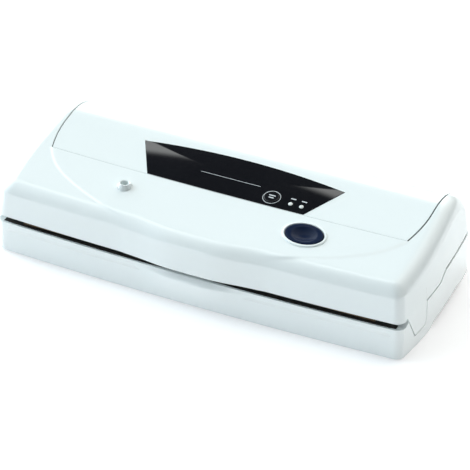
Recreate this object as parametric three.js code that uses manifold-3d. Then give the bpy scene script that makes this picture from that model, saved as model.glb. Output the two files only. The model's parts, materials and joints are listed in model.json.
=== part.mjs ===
// Countertop vacuum sealer: a long, low machine with a full-depth lid hinged at the rear.
// Millimetres. +X runs along the machine, +Y from the front to the rear, +Z up.
// Inside the `machine` group y = 0 is the plane of the two front corners; the group is then
// shifted so that the part's origin is the middle of its footprint, on the surface it stands on.
import * as THREE from "three";
import { mergeVertices } from "three/addons/utils/BufferGeometryUtils.js";
import Module from "manifold-3d";

const wasm = await Module();
wasm.setup();

// ---------------------------------------------------------------- driving dimensions

const HALF_LENGTH = 186.6; // at the widest point of the bowed sides
const WIDEST_Y = 60; // where the sides are widest
const SIDE_BOW_FRONT = 0.0015; // curvature of the sides ahead of that point
const SIDE_BOW_REAR = 0.0007; // and behind it
const REAR_Y = 148; // plane of the rear wall
const FRONT_BOW = 4.6; // how far the front face bows out at its middle
const FRONT_CORNER = 7; // plan radius of the front corners
const REAR_CORNER = 12; // plan radius of the rear corners
const WALL = 2.6; // wall of the mouldings
const GAP = 0.3; // running gap between neighbouring pieces

const LOWEST_TAB_Z = 8; // the lid's skin is made down to here, below the side tabs
const SKIRT_Z = 1; // lower edge of the base casing
const RIM_Z = 29; // top of the base's front rim
const LID_EDGE_Z = 34.8; // lower edge of the lid at the front: the bag slot lies between
const BASE_TOP_FRONT = 34; // top of the base behind the side tabs
const BASE_TOP_REAR = 39.6; // top of the base beside the rear compartment
const STEP_START = 68; // the parting line climbs between these two depths
const STEP_END = 80;

const CREASE_Z = 55; // where the lid's front face begins to round over
const ROUND_DEPTH = 10; // depth of that rounding
const FACE_LEAN = 2.8; // how far the front face leans back up to the crease
const SLOPE = 0.1645; // rise of the lid's top per millimetre of depth
const SLOPE_Z = 63.3; // height of that slope's line at y = 0
const CROWN_Y = 110; // middle of the rear rounding
const CROWN_Z = 56;
const CROWN_RISE = 24.7;
const SHOULDER = 12; // rounding between the lid's sides and its top
const SIDE_DRAFT = 0.13; // how far the lid's sides lean in per millimetre of height
const NOSE = 3.7; // forward bulge in the middle of the lid's front face
const RAISED = 0.9; // height of the raised front panel
const LIP = 4.2; // forward bulge in the middle of the base's front face
const LIP_HALF = 56; // the bulge fades out this far from the middle
const LIP_Z = 25;
const RIM_RISE = 0.8; // the front rim stands a little higher over that bulge

const HINGE_Y = 144.8;
const HINGE_Z = 40.6;
const HINGE_X = 126; // middle of each hinge
const HINGE_R = 3;
const KNUCKLE_HALF = 5.5; // half length of the lid's knuckle
const PIN_R = 1.2;
const HINGE_CHANNEL_Z = HINGE_Z - 4.2; // top of the base under the hinges

const BUTTON = { x: 81.4, y: 35.2, halfX: 17, halfY: 12, stem: 4 };
const PORT = { x: -80, y: 35.5, outer: 6, bore: 3.4 };
const KEY = { x: 38, y: 66.6, r: 6.2 };
const LEDS = { status: 55.6, power: 65.3 };
const LED_Y = 64.6;
const LED_R = 2;
const LABEL = { frontHalf: 70.4, rearHalf: 91, frontY: 56.9, rearY: 93, thick: 1.1 };
const LABEL_BOW = { front: 0.5, rear: 7 }; // how far its long edges bow out in the middle
const COVER = { frontY: 58.5, frontHalf: 161, rearHalf: 166.8, fullY: 92, lowZ: 50, seam: 1.1 };
const COVER_THICK = 2.2;

const DECK = { half: 171.7, front: 12.6, rear: 57.7, low: 26.2, top: 28.8 };
const TROUGH = { half: 153, front: 27, rear: 47, floor: 20.4 };
const GASKET = { half: 166, front: 19.5, rear: 55.5, width: 5, corner: 12 };
const SEAL_BAR = { half: 176, front: 1.9, rear: 12, low: 21, top: 29.4, stripY: 6 };
const PANEL_Z = 36.5; // underside of the lid's inner panel in the front half
const PANEL_REAR_Z = 41.5;
const PANEL_THICK = 2;

const MOTOR = { x: -4, y: 112, z: 60.5, r: 12, length: 42 };
const PUMP_HEAD = { x0: 19, x1: 50, halfY: 15, halfZ: 14 };
const PLATE_Z = 5; // underside of the base's bottom plate
const FOOT = { r: 7, x: 158, front: 22, rear: 132 };
const INLET = { x: -90, z: 17, halfX: 11, halfZ: 7, depth: 16, pinX: 4.3 };
const SWITCH = { x: -150, y: 64, bore: 2.3 };
const VACUUM_PORT = { x: 40, y: 38, bore: 2.5 };
const PRESSURE_BAR = { half: 158, low: 31.2 };
const SCREW_HOLE_R = 1.8;
const TAB_INNER_X = 174; // inner faces of the side tabs
const RECESS_X = 178.8; // and of the recesses in the base that hold them
const LID_SCREWS = [
  [-172, 50],
  [172, 50],
  [-172, 122],
  [172, 122],
];
const BASE_SCREWS = [
  [-166, 60],
  [166, 60],
  [-60, 136],
  [60, 136],
];

// ---------------------------------------------------------------- finishes

const finish = (color, roughness, metalness = 0) =>
  new THREE.MeshStandardMaterial({ color, roughness, metalness });

const FINISH = {
  casing: finish(0xf1f5f5, 0.28),
  innerWhite: finish(0xdfe4e4, 0.45),
  glossBlack: finish(0x0e0f14, 0.08),
  navy: finish(0x1b2340, 0.3),
  lens: finish(0xf4f6f4, 0.2),
  rubber: finish(0x2f3a38, 0.8),
  silicone: finish(0x55595c, 0.6),
  phenolic: finish(0x24211f, 0.6),
  tape: finish(0x8a6a48, 0.5),
  steel: finish(0xb9bcc0, 0.3, 1),
  copper: finish(0xb26b3a, 0.4, 1),
  board: finish(0x2b6a3c, 0.5),
  darkPlastic: finish(0x1d1e20, 0.5),
  tube: finish(0xd8dad6, 0.4),
};

// ---------------------------------------------------------------- solids

// A closed three.js geometry as a manifold-3d solid.
function solid(geometry) {
  const bare = geometry.clone();
  bare.deleteAttribute("normal");
  bare.deleteAttribute("uv");
  const merged = mergeVertices(bare, 1e-4);
  return new wasm.Manifold(
    new wasm.Mesh({
      numProp: 3,
      vertProperties: merged.attributes.position.array,
      triVerts: new Uint32Array(merged.index.array),
    }),
  );
}

// A manifold-3d solid as a three.js geometry.
function geometryOf(body) {
  const mesh = body.getMesh();
  const geometry = new THREE.BufferGeometry();
  geometry.setAttribute("position", new THREE.BufferAttribute(mesh.vertProperties, 3));
  geometry.setIndex(new THREE.BufferAttribute(mesh.triVerts, 1));
  geometry.computeVertexNormals();
  return geometry;
}

function outline(points) {
  return new THREE.Shape(points.map(([a, b]) => new THREE.Vector2(a, b)));
}

// An outline in the XY plane, raised from z0 to z1.
function prismZ(shape, z0, z1, curveSegments = 8) {
  const depth = z1 - z0;
  const body = new THREE.ExtrudeGeometry(shape, { depth, bevelEnabled: false, curveSegments });
  return body.translate(0, 0, z0);
}

// An outline in the YZ plane, carried from x0 to x1.
function prismX(points, x0, x1) {
  const body = new THREE.ExtrudeGeometry(outline(points), { depth: x1 - x0, bevelEnabled: false });
  const turn = new THREE.Matrix4().makeBasis(
    new THREE.Vector3(0, 1, 0),
    new THREE.Vector3(0, 0, 1),
    new THREE.Vector3(1, 0, 0),
  );
  return body.applyMatrix4(turn).translate(x0, 0, 0);
}

function box(x0, x1, y0, y1, z0, z1) {
  const body = new THREE.BoxGeometry(x1 - x0, y1 - y0, z1 - z0);
  return body.translate((x0 + x1) / 2, (y0 + y1) / 2, (z0 + z1) / 2);
}

// A rod along Z from z0 to z1, or along X with rodX.
function rodZ(r, z0, z1, x = 0, y = 0, segments = 20) {
  const body = new THREE.CylinderGeometry(r, r, z1 - z0, segments).rotateX(Math.PI / 2);
  return body.translate(x, y, (z0 + z1) / 2);
}

function rodX(r, x0, x1, y, z, segments = 20) {
  const body = new THREE.CylinderGeometry(r, r, x1 - x0, segments).rotateZ(Math.PI / 2);
  return body.translate((x0 + x1) / 2, y, z);
}

// A profile of [radius, height] points, starting and ending on the axis or closing on itself,
// turned about Z.
function turned(profile, segments = 28) {
  const points = profile.map(([r, z]) => new THREE.Vector2(r, z));
  return new THREE.LatheGeometry(points, segments).rotateX(Math.PI / 2);
}

function roundedRectangle(halfX, y0, y1, radius) {
  const shape = new THREE.Shape();
  shape.moveTo(-halfX + radius, y0);
  shape.lineTo(halfX - radius, y0);
  shape.absarc(halfX - radius, y0 + radius, radius, -Math.PI / 2, 0);
  shape.lineTo(halfX, y1 - radius);
  shape.absarc(halfX - radius, y1 - radius, radius, 0, Math.PI / 2);
  shape.lineTo(-halfX + radius, y1);
  shape.absarc(-halfX + radius, y1 - radius, radius, Math.PI / 2, Math.PI);
  shape.lineTo(-halfX, y0 + radius);
  shape.absarc(-halfX + radius, y0 + radius, radius, Math.PI, 1.5 * Math.PI);
  return shape;
}

function ellipse(halfX, halfY) {
  return new THREE.Shape().absellipse(0, 0, halfX, halfY, 0, 2 * Math.PI);
}

// A tube of radius r along a smooth curve through the points.
function hose(points, r) {
  const path = new THREE.CatmullRomCurve3(points.map((p) => new THREE.Vector3(...p)));
  const section = new THREE.Shape().absarc(0, 0, r, 0, 2 * Math.PI);
  return new THREE.ExtrudeGeometry(section, {
    steps: 14,
    curveSegments: 5,
    bevelEnabled: false,
    extrudePath: path,
  });
}

// ---------------------------------------------------------------- the casing's surfaces

const smooth = (a, b, v) => THREE.MathUtils.smoothstep(v, a, b);

// Half of the machine's length at depth y: the sides bow gently.
function halfWidth(y) {
  const bow = y < WIDEST_Y ? SIDE_BOW_FRONT : SIDE_BOW_REAR;
  return HALF_LENGTH - bow * (y - WIDEST_Y) ** 2;
}

// Depth of the base's front face.
function frontFace(x) {
  return -FRONT_BOW * (1 - Math.min(1, (x / 181) ** 2));
}

// The top slope's height at depth y.
function topSlope(y) {
  return SLOPE_Z + SLOPE * y;
}

// How far a corner of radius r draws a face in, at distance s from the next face.
function cornerInset(s, r) {
  return s >= r ? 0 : r - Math.sqrt(Math.max(0, r * r - (r - s) ** 2));
}

// A section is two chains of [y, z] points: `front` runs up the front face from its lower end,
// and `top` runs on from there to the rear. It is drawn in by `inset`; s is the distance from the
// drawn-in side wall.
function lidSection(x, s, inset) {
  const nose = NOSE * (1 - smooth(15, 64, Math.abs(x)));
  const front = frontFace(x) - 0.2 - nose + inset + cornerInset(s, FRONT_CORNER - inset);
  const rear = REAR_Y - inset - cornerInset(s, REAR_CORNER - inset);
  const drop = inset + cornerInset(s, SHOULDER - inset);
  const top = [[front + FACE_LEAN, CREASE_Z]];
  const roundEnd = front + ROUND_DEPTH;
  const roundRise = topSlope(roundEnd) - drop - CREASE_Z;
  for (let k = 1; k <= 4; k++) {
    const angle = (k * Math.PI) / 8;
    const y = roundEnd - (ROUND_DEPTH - FACE_LEAN) * Math.cos(angle);
    top.push([y, CREASE_Z + roundRise * Math.sin(angle)]);
  }
  for (const y of [32, WIDEST_Y, 82]) top.push([y, topSlope(y) - drop]);
  const tangent = Math.acos(-0.245); // where the slope meets the rear rounding
  const steps = 7;
  for (let k = 0; k <= steps; k++) {
    const angle = tangent * (1 - k / steps);
    const y = CROWN_Y + (rear - CROWN_Y) * Math.cos(angle);
    top.push([y, CROWN_Z + (CROWN_RISE - drop) * Math.sin(angle)]);
  }
  return { front: [[front, LOWEST_TAB_Z], [front, LID_EDGE_Z]], top };
}

// The base's section at station x. A lip swells out of the middle of its front face.
function baseSection(x, s, inset) {
  const lip = LIP * (1 - smooth(8, LIP_HALF, Math.abs(x)));
  const front = frontFace(x) + inset + cornerInset(s, FRONT_CORNER - inset);
  const rear = REAR_Y - inset - cornerInset(s, REAR_CORNER - inset);
  const face = [
    [front, SKIRT_Z],
    [front - 0.45 * lip, 14],
    [front - lip, LIP_Z],
    [front, RIM_Z],
    [front, 50],
  ];
  return { front: face, top: [front + 8, 32, WIDEST_Y, 90, 120, rear].map((y) => [y, 50]) };
}

// Stations along the machine: positions near the middle, then distances from the side wall.
const MIDDLE_STATIONS = [0, 22, 38, 53, 68, 110, 150];
const END_STATIONS = [12, 6.5, 3, 0.8, 0];

// A closed skin through the sections, drawn in by `inset` (and by `sideInset` at the sides).
function skin(section, inset, sideInset = inset) {
  const half = HALF_LENGTH - sideInset;
  const right = [
    ...MIDDLE_STATIONS.map((x) => [x, half - x]),
    ...END_STATIONS.map((s) => [half - s, s]),
  ];
  const left = right.slice(1).reverse();
  const stations = [...left.map(([x, s]) => [-x, s]), ...right];
  const sections = stations.map(([x, s]) => section(x, s, inset));
  const rows = sections.map(({ front, top }, i) => {
    const under = top.map(([y]) => [y, front[0][1]]).reverse();
    return [...front, ...top, ...under].map(([y, z]) => {
      const draft = SIDE_DRAFT * Math.max(0, z - LID_EDGE_Z);
      const reach = (halfWidth(y) - sideInset - draft) / half;
      return [stations[i][0] * reach, y, z];
    });
  });
  const count = rows[0].length;
  const index = [];
  for (let i = 0; i + 1 < rows.length; i++) {
    for (let k = 0; k < count; k++) {
      const next = (k + 1) % count;
      const [a, b] = [i * count + k, i * count + next];
      const [c, d] = [a + count, b + count];
      index.push(a, d, b, a, c, d);
    }
  }
  // Each end is closed by a fan behind the front face and a column under each stretch of the top.
  const faceCount = sections[0].front.length;
  const ends = [[faceCount, count - 1, 0]];
  for (let k = 0; k + 1 < faceCount; k++) ends.push([faceCount, k, k + 1]);
  for (let k = 0; k + 1 < sections[0].top.length; k++) {
    const [upper, lower] = [faceCount + k, count - 1 - k];
    ends.push([upper, upper + 1, lower], [upper + 1, lower - 1, lower]);
  }
  const last = (rows.length - 1) * count;
  for (const [p, q, r] of ends) index.push(p, q, r, last + p, last + r, last + q);
  const geometry = new THREE.BufferGeometry();
  const flat = new Float32Array(rows.flat(2));
  geometry.setAttribute("position", new THREE.BufferAttribute(flat, 3));
  geometry.setIndex(index);
  return solid(geometry);
}

const WIDE = HALF_LENGTH + 20;

// The tab on each side of the lid, in the YZ plane, and the recess that holds it, grown by g.
function tabOutline(g) {
  return [
    [9.4 - g, 46],
    [9.4 - g, 36.4],
    [22.4 - g, 12.4 - g],
    [37.6 + g / 2, 12.4 - g],
    [41 + g, 16.6 - g / 2],
    [41 + g, 46],
  ];
}

// ---------------------------------------------------------------- lid casing

const group = new THREE.Group();
const machine = new THREE.Group();
group.add(machine);
const base = new THREE.Group();
const lid = new THREE.Group();
machine.add(base, lid);

function place(parent, name, geometry, material, position = [0, 0, 0]) {
  const mesh = new THREE.Mesh(geometry, material);
  mesh.name = name;
  mesh.position.set(...position);
  parent.add(mesh);
  return mesh;
}

function bothSides(build) {
  return build(1).add(build(-1));
}

// The rear cover's outline from above, grown by g: its front edge bows with the machine.
function coverOutline(g) {
  const { frontY, frontHalf, rearHalf, fullY } = COVER;
  const shape = new THREE.Shape();
  shape.moveTo(-rearHalf - g, 170);
  shape.lineTo(-rearHalf - g, fullY);
  shape.quadraticCurveTo(-rearHalf - g, fullY - 12, -frontHalf - g, frontY - g);
  shape.quadraticCurveTo(0, frontY - 5 - g, frontHalf + g, frontY - g);
  shape.quadraticCurveTo(rearHalf + g, fullY - 12, rearHalf + g, fullY);
  shape.lineTo(rearHalf + g, 170);
  return shape;
}

// The raised front panel: a shallow D that runs out over the middle of the front face.
function raisedOutline() {
  const shape = new THREE.Shape();
  shape.moveTo(-160, 57);
  shape.bezierCurveTo(-146, 32, -118, 20, -62, 2);
  shape.lineTo(-62, -30);
  shape.lineTo(62, -30);
  shape.lineTo(62, 2);
  shape.bezierCurveTo(118, 20, 146, 32, 160, 57);
  shape.quadraticCurveTo(0, 51.5, -160, 57);
  return shape;
}

// Everything above the parting line, which steps up towards the rear, with the side tabs.
function lidRegion() {
  const above = solid(
    prismX(
      [
        [-30, LID_EDGE_Z],
        [9, LID_EDGE_Z + 1.2],
        [41, BASE_TOP_FRONT + 1.5],
        [STEP_START, BASE_TOP_FRONT + 1.5],
        [STEP_END, BASE_TOP_REAR + 1.2],
        [141.5, BASE_TOP_REAR + 1.2],
        [141.5, HINGE_Z + 0.8],
        [170, HINGE_Z + 0.8],
        [170, 100],
        [-30, 100],
      ],
      -WIDE,
      WIDE,
    ),
  );
  const tab = (side) => {
    const [x0, x1] = side > 0 ? [TAB_INNER_X, WIDE] : [-WIDE, -TAB_INNER_X];
    return solid(prismX(tabOutline(0), x0, x1));
  };
  return above.add(bothSides(tab));
}

function lidShell() {
  const outer = skin(lidSection, 0);
  const inner = skin(lidSection, WALL);
  const raised = skin(lidSection, -RAISED).intersect(solid(prismZ(raisedOutline(), 0, 100, 6)));
  const coverTop = solid(prismZ(coverOutline(0), COVER.lowZ, 100, 6));
  // A ledge just under the cover's edge carries it and closes the seam from below.
  const ledgeBand = solid(prismZ(coverOutline(3), COVER.lowZ - 2, 100, 6)).subtract(
    solid(prismZ(coverOutline(-5), 0, 110, 6)),
  );
  const ledge = skin(lidSection, COVER_THICK + GAP)
    .subtract(skin(lidSection, COVER_THICK + GAP + 1.8))
    .intersect(ledgeBand);
  let shell = outer.add(raised).subtract(inner).subtract(coverTop).add(ledge);
  shell = shell.intersect(lidRegion());

  // Screw bosses beside the cover.
  for (const [x, y] of LID_SCREWS) {
    const post = solid(rodZ(3.6, panelUpperZ(y) + GAP, 90, x, y, 16)).intersect(
      skin(lidSection, 1),
    );
    shell = shell.add(post);
  }
  for (const [x, y] of LID_SCREWS) {
    shell = shell.subtract(solid(rodZ(SCREW_HOLE_R, 30, 52, x, y, 12)));
  }

  // Hinge: the rear wall is notched for each bracket, and a knuckle hangs in the notch.
  const hinge = (side) => {
    const at = side * HINGE_X;
    const [x0, x1] = [at - KNUCKLE_HALF, at + KNUCKLE_HALF];
    const knuckle = solid(rodX(HINGE_R, x0, x1, HINGE_Y, HINGE_Z));
    const web = solid(box(x0, x1, HINGE_Y - 1.6, HINGE_Y + HINGE_R, HINGE_Z, HINGE_Z + 8));
    return knuckle.add(web).subtract(solid(rodX(PIN_R + GAP, at - 9, at + 9, HINGE_Y, HINGE_Z)));
  };
  const notch = (side) => {
    const at = side * HINGE_X;
    return solid(box(at - 11, at + 11, HINGE_Y - 6, REAR_Y + 5, 30, HINGE_Z + 4));
  };
  shell = shell.subtract(bothSides(notch)).add(bothSides(hinge));

  // Openings for the release button's bezel and the hose port.
  const bezelHole = ellipse(BUTTON.halfX + 0.8 + GAP, BUTTON.halfY + 0.8 + GAP);
  shell = shell.subtract(solid(prismZ(bezelHole, 50, 90, 12).translate(BUTTON.x, BUTTON.y, 0)));
  return shell.subtract(solid(rodZ(PORT.outer + GAP, 50, 90, PORT.x, PORT.y, 28)));
}

// Height of the upper face of the lid's inner panel at depth y.
function panelUpperZ(y) {
  return (y < STEP_START ? PANEL_Z : PANEL_REAR_Z) + PANEL_THICK;
}

function rearCover() {
  const wall = skin(lidSection, 0).subtract(skin(lidSection, COVER_THICK));
  const area = solid(prismZ(coverOutline(-COVER.seam), COVER.lowZ + COVER.seam, 100, 6));
  const front = solid(box(-WIDE, WIDE, 0, 170, 0, 100).translate(0, COVER.frontY - 6, 0));
  return wall.intersect(area).intersect(front);
}

// The control panel, key, lenses and board lie parallel to the top slope. In this tilted
// group x is unchanged, y runs up the slope and z is the slope's normal.
const tilt = Math.atan(SLOPE);
const slopeGroup = new THREE.Group();
slopeGroup.position.set(0, LABEL.frontY, topSlope(LABEL.frontY));
slopeGroup.rotation.x = tilt;
lid.add(slopeGroup);
const upSlope = (y) => (y - LABEL.frontY) / Math.cos(tilt);

// The control panel's outline, grown by g: a trapezoid whose long edges bow out.
function labelOutline(g) {
  const top = upSlope(LABEL.rearY) + g;
  const shape = new THREE.Shape();
  shape.moveTo(-LABEL.frontHalf - g, -g);
  shape.quadraticCurveTo(0, -g - 2 * LABEL_BOW.front, LABEL.frontHalf + g, -g);
  shape.lineTo(LABEL.rearHalf + g, top);
  shape.quadraticCurveTo(0, top + 2 * LABEL_BOW.rear, -LABEL.rearHalf - g, top);
  return shape;
}

// A tilted-group solid brought into the machine's own frame, for cutting the cover.
function fromSlope(geometry) {
  slopeGroup.updateMatrix();
  return solid(geometry.applyMatrix4(slopeGroup.matrix));
}

const keyAt = [KEY.x, upSlope(KEY.y)];
const ledsAt = Object.values(LEDS).map((x) => [x, upSlope(LED_Y)]);

function cutCover() {
  let cover = rearCover();
  cover = cover.subtract(fromSlope(prismZ(labelOutline(GAP), -LABEL.thick - GAP, 8)));
  cover = cover.subtract(fromSlope(rodZ(KEY.r + 0.6, -6, 6, ...keyAt, 24)));
  for (const led of ledsAt) cover = cover.subtract(fromSlope(rodZ(LED_R + GAP, -6, 6, ...led, 12)));
  return cover;
}

function controlPanel() {
  let panel = solid(prismZ(labelOutline(0), -LABEL.thick, 0.1));
  panel = panel.subtract(solid(rodZ(KEY.r + GAP, -6, 6, ...keyAt, 28)));
  for (const led of ledsAt) panel = panel.subtract(solid(rodZ(LED_R + GAP, -6, 6, ...led, 12)));
  return panel;
}

place(lid, "lid_shell", geometryOf(lidShell()), FINISH.casing);
place(lid, "rear_cover", geometryOf(cutCover()), FINISH.casing);
place(slopeGroup, "control_panel", geometryOf(controlPanel()), FINISH.glossBlack);

const KEY_TRAVEL = 0.6;
const CONTACT_TOP = -3.2;
const keyProfile = [
  [0, CONTACT_TOP + KEY_TRAVEL + 0.2],
  [1.8, CONTACT_TOP + KEY_TRAVEL + 0.2],
  [1.8, -1.6],
  [KEY.r, -1.6],
  [KEY.r, 0.1],
  [KEY.r - 0.3, 0.4],
  [0, 0.3],
];
place(slopeGroup, "seal_key", turned(keyProfile), FINISH.glossBlack, [...keyAt, 0]);
ledsAt.forEach((led, i) => {
  const name = `indicator_lens_${Object.keys(LEDS)[i]}`;
  const dome = [
    [0, -4.6],
    [LED_R - 0.5, -4.6],
    [LED_R - 0.5, -2.6],
    [LED_R, -2.6],
    [LED_R, 0.15],
    [LED_R * 0.6, 0.55],
    [0, 0.7],
  ];
  place(slopeGroup, name, turned(dome, 14), FINISH.lens, [...led, 0]);
});
const BOARD_TOP = -6.6;
const keySwitch = box(-3, 3, -3, 3, BOARD_TOP + GAP, CONTACT_TOP);
place(slopeGroup, "seal_key_contact", keySwitch, FINISH.darkPlastic, [...keyAt, 0]);
const board = box(-60, 75, 3, 31, BOARD_TOP - 1.6, BOARD_TOP);
place(slopeGroup, "control_board", board, FINISH.board);

// ---------------------------------------------------------------- release button and hose port

// Height of the lid's raised panel at depth y.
const panelTop = (y) => topSlope(y) + RAISED;

// An oval prism whose two ends follow the lid's slope.
function slopedOval(halfX, halfY, below, above, segments = 10) {
  const shape = ellipse(halfX, halfY);
  const height = above - below;
  const body = new THREE.ExtrudeGeometry(shape, {
    depth: height,
    bevelEnabled: false,
    curveSegments: segments,
  });
  body.translate(0, 0, below);
  const lean = new THREE.Matrix4().set(1, 0, 0, 0, 0, 1, 0, 0, 0, SLOPE, 1, 0, 0, 0, 0, 1);
  return body.applyMatrix4(lean);
}

const buttonTop = panelTop(BUTTON.y);
const buttonAt = [BUTTON.x, BUTTON.y, buttonTop];

function bezel() {
  const { halfX, halfY } = BUTTON;
  const collar = solid(slopedOval(halfX + 0.8, halfY + 0.8, -5.5, 0.5, 14));
  const flange = solid(slopedOval(halfX + 2, halfY + 2, GAP, 1.1, 14));
  const hole = solid(slopedOval(halfX - 0.2, halfY - 0.2, -9, 5, 14));
  return collar.add(flange).subtract(hole);
}
place(lid, "button_bezel", geometryOf(bezel()), FINISH.casing, buttonAt);

const VALVE_TOP_Z = 46;
function releaseButton() {
  const { halfX, halfY } = BUTTON;
  const cap = solid(slopedOval(halfX - 0.7, halfY - 0.7, -4.5, 1.2, 12));
  const bowl = new THREE.SphereGeometry(1, 24, 12).scale(11.5, 8.5, 2.6).translate(0, 0, 1.6);
  const stem = solid(rodZ(BUTTON.stem, VALVE_TOP_Z - buttonTop, -2, 0, 0, 16));
  return cap.subtract(solid(bowl)).add(stem);
}
place(lid, "release_button", geometryOf(releaseButton()), FINISH.navy, buttonAt);

const SPRING_TOP_Z = 62;
const SPRING_LOW_Z = 48;
function returnSpring() {
  const turns = 4;
  const wire = 0.6;
  const coil = 5.4;
  const rise = SPRING_TOP_Z - SPRING_LOW_Z - 2 * wire;
  class Helix extends THREE.Curve {
    getPoint(t, target = new THREE.Vector3()) {
      const angle = 2 * Math.PI * turns * t;
      return target.set(coil * Math.cos(angle), coil * Math.sin(angle), wire + rise * t);
    }
  }
  const section = new THREE.Shape().absarc(0, 0, wire, 0, 2 * Math.PI);
  return new THREE.ExtrudeGeometry(section, {
    steps: turns * 9,
    curveSegments: 3,
    bevelEnabled: false,
    extrudePath: new Helix(),
  });
}
const springAt = [BUTTON.x, BUTTON.y, SPRING_LOW_Z];
place(lid, "button_spring", returnSpring(), FINISH.steel, springAt);

// The valve seat stands on the inner panel; the button's stem closes its bore.
const seatLow = PANEL_Z + PANEL_THICK + GAP;
const seatProfile = [
  [2.5, seatLow],
  [8, seatLow],
  [8, seatLow + 2],
  [7, SPRING_LOW_Z - GAP],
  [BUTTON.stem + GAP, SPRING_LOW_Z - GAP],
  [BUTTON.stem + GAP, 42.6],
  [2.5, 42.6],
  [2.5, seatLow],
];
place(lid, "valve_seat", turned(seatProfile, 20), FINISH.innerWhite, [BUTTON.x, BUTTON.y, 0]);

const PORT_RISE = 3.4; // how far the port stands above the raised panel
const PORT_LENGTH = 14;
const portTop = panelTop(PORT.y) + PORT_RISE;
const portLow = portTop - PORT_LENGTH;
const portProfile = [
  [PORT.bore, portLow],
  [PORT.outer - 0.8, portLow],
  [PORT.outer, portTop - 11],
  [PORT.outer, portTop - 3.6],
  [PORT.outer - 0.9, portTop - 0.7],
  [PORT.outer - 1.6, portTop],
  [PORT.bore, portTop],
  [PORT.bore, portLow],
];
place(lid, "hose_port", turned(portProfile, 24), FINISH.casing, [PORT.x, PORT.y, 0]);

// ---------------------------------------------------------------- underside of the lid

function innerPanel() {
  const profile = [
    [3, PANEL_Z],
    [STEP_START - 2, PANEL_Z],
    [STEP_END, PANEL_REAR_Z],
    [138.5, PANEL_REAR_Z],
    [138.5, PANEL_REAR_Z + PANEL_THICK],
    [STEP_END - 0.6, PANEL_REAR_Z + PANEL_THICK],
    [STEP_START - 2.6, PANEL_Z + PANEL_THICK],
    [3, PANEL_Z + PANEL_THICK],
  ];
  let panel = solid(prismX(profile, -178, 178));
  panel = panel.intersect(solid(prismZ(roundedRectangle(177.5, 3, 138.5, 9), 30, 60, 4)));
  for (const [x, y] of LID_SCREWS) {
    panel = panel.subtract(solid(rodZ(SCREW_HOLE_R, 30, 50, x, y, 12)));
  }
  for (const { x, y } of [BUTTON, VACUUM_PORT]) {
    panel = panel.subtract(solid(rodZ(VACUUM_PORT.bore, 30, 50, x, y, 12)));
  }
  return panel;
}
place(lid, "lid_inner_panel", geometryOf(innerPanel()), FINISH.innerWhite);

function gasketRing(z0, z1) {
  const { half, front, rear, width, corner } = GASKET;
  const ring = roundedRectangle(half, front, rear, corner);
  ring.holes.push(
    roundedRectangle(half - width, front + width, rear - width, corner - width),
  );
  return prismZ(ring, z0, z1, 4);
}
const GASKET_MEET = 32.4;
const upperGasket = gasketRing(GASKET_MEET + GAP / 2, PANEL_Z - GAP);
place(lid, "upper_gasket", upperGasket, FINISH.rubber);
const barMiddle = SEAL_BAR.stripY;
const { half: pressHalf, low: pressLow } = PRESSURE_BAR;
const pressureBar = box(
  -pressHalf,
  pressHalf,
  barMiddle - 2.6,
  barMiddle + 3.5,
  pressLow,
  PANEL_Z - GAP,
);
place(lid, "pressure_bar", pressureBar, FINISH.silicone);

function screw(length) {
  const head = 1.5;
  return turned(
    [
      [0, -head],
      [2.2, -head],
      [2.9, -head + 0.6],
      [2.9, 0],
      [1.4, 0],
      [1.4, length],
      [0, length],
    ],
    8,
  );
}
LID_SCREWS.forEach(([x, y], i) => {
  const under = panelUpperZ(y) - PANEL_THICK - GAP;
  place(lid, `lid_screw_${i + 1}`, screw(9), FINISH.steel, [x, y, under]);
});

// ---------------------------------------------------------------- vacuum pump in the lid

function pumpHead() {
  const { x0, x1, halfY, halfZ } = PUMP_HEAD;
  const { y, z } = MOTOR;
  const block = solid(box(x0, x1, y - halfY, y + halfY, z - halfZ, z + halfZ));
  const chamber = solid(rodX(9, x0 - 1, x1 - 8, y, z, 24));
  return block.subtract(chamber);
}
const motorEnd = MOTOR.x - MOTOR.length / 2;
const motorFace = PUMP_HEAD.x0 - GAP;
const motorCan = solid(rodX(MOTOR.r, motorEnd, motorFace, MOTOR.y, MOTOR.z, 28));
const shaftHole = solid(rodX(1.5, motorFace - 8, motorFace + 1, MOTOR.y, MOTOR.z, 12));
const motor = motorCan.subtract(shaftHole);
place(lid, "pump_motor", geometryOf(motor), FINISH.steel);
place(lid, "pump_head", geometryOf(pumpHead()), FINISH.darkPlastic);

const CRANK_OFFSET = 1.5;
function pumpCrank() {
  const shaft = solid(rodX(1.1, motorFace - 7, PUMP_HEAD.x1 - 10, MOTOR.y, MOTOR.z, 12));
  const wheelX = PUMP_HEAD.x0 + 6;
  const wheel = solid(rodX(6, wheelX, wheelX + 7, MOTOR.y, MOTOR.z + CRANK_OFFSET, 20));
  return shaft.add(wheel);
}
place(lid, "pump_crank", geometryOf(pumpCrank()), FINISH.innerWhite);

function pumpBracket() {
  const low = panelUpperZ(MOTOR.y) + GAP;
  const foot = solid(box(-22, 16, 92, 132, low, low + 2));
  const cradle = solid(box(-18, 12, 102, 122, low, MOTOR.z - 6));
  const seat = solid(rodX(MOTOR.r + GAP, -30, 20, MOTOR.y, MOTOR.z, 28));
  return foot.add(cradle).subtract(seat);
}
place(lid, "pump_bracket", geometryOf(pumpBracket()), FINISH.innerWhite);

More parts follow.
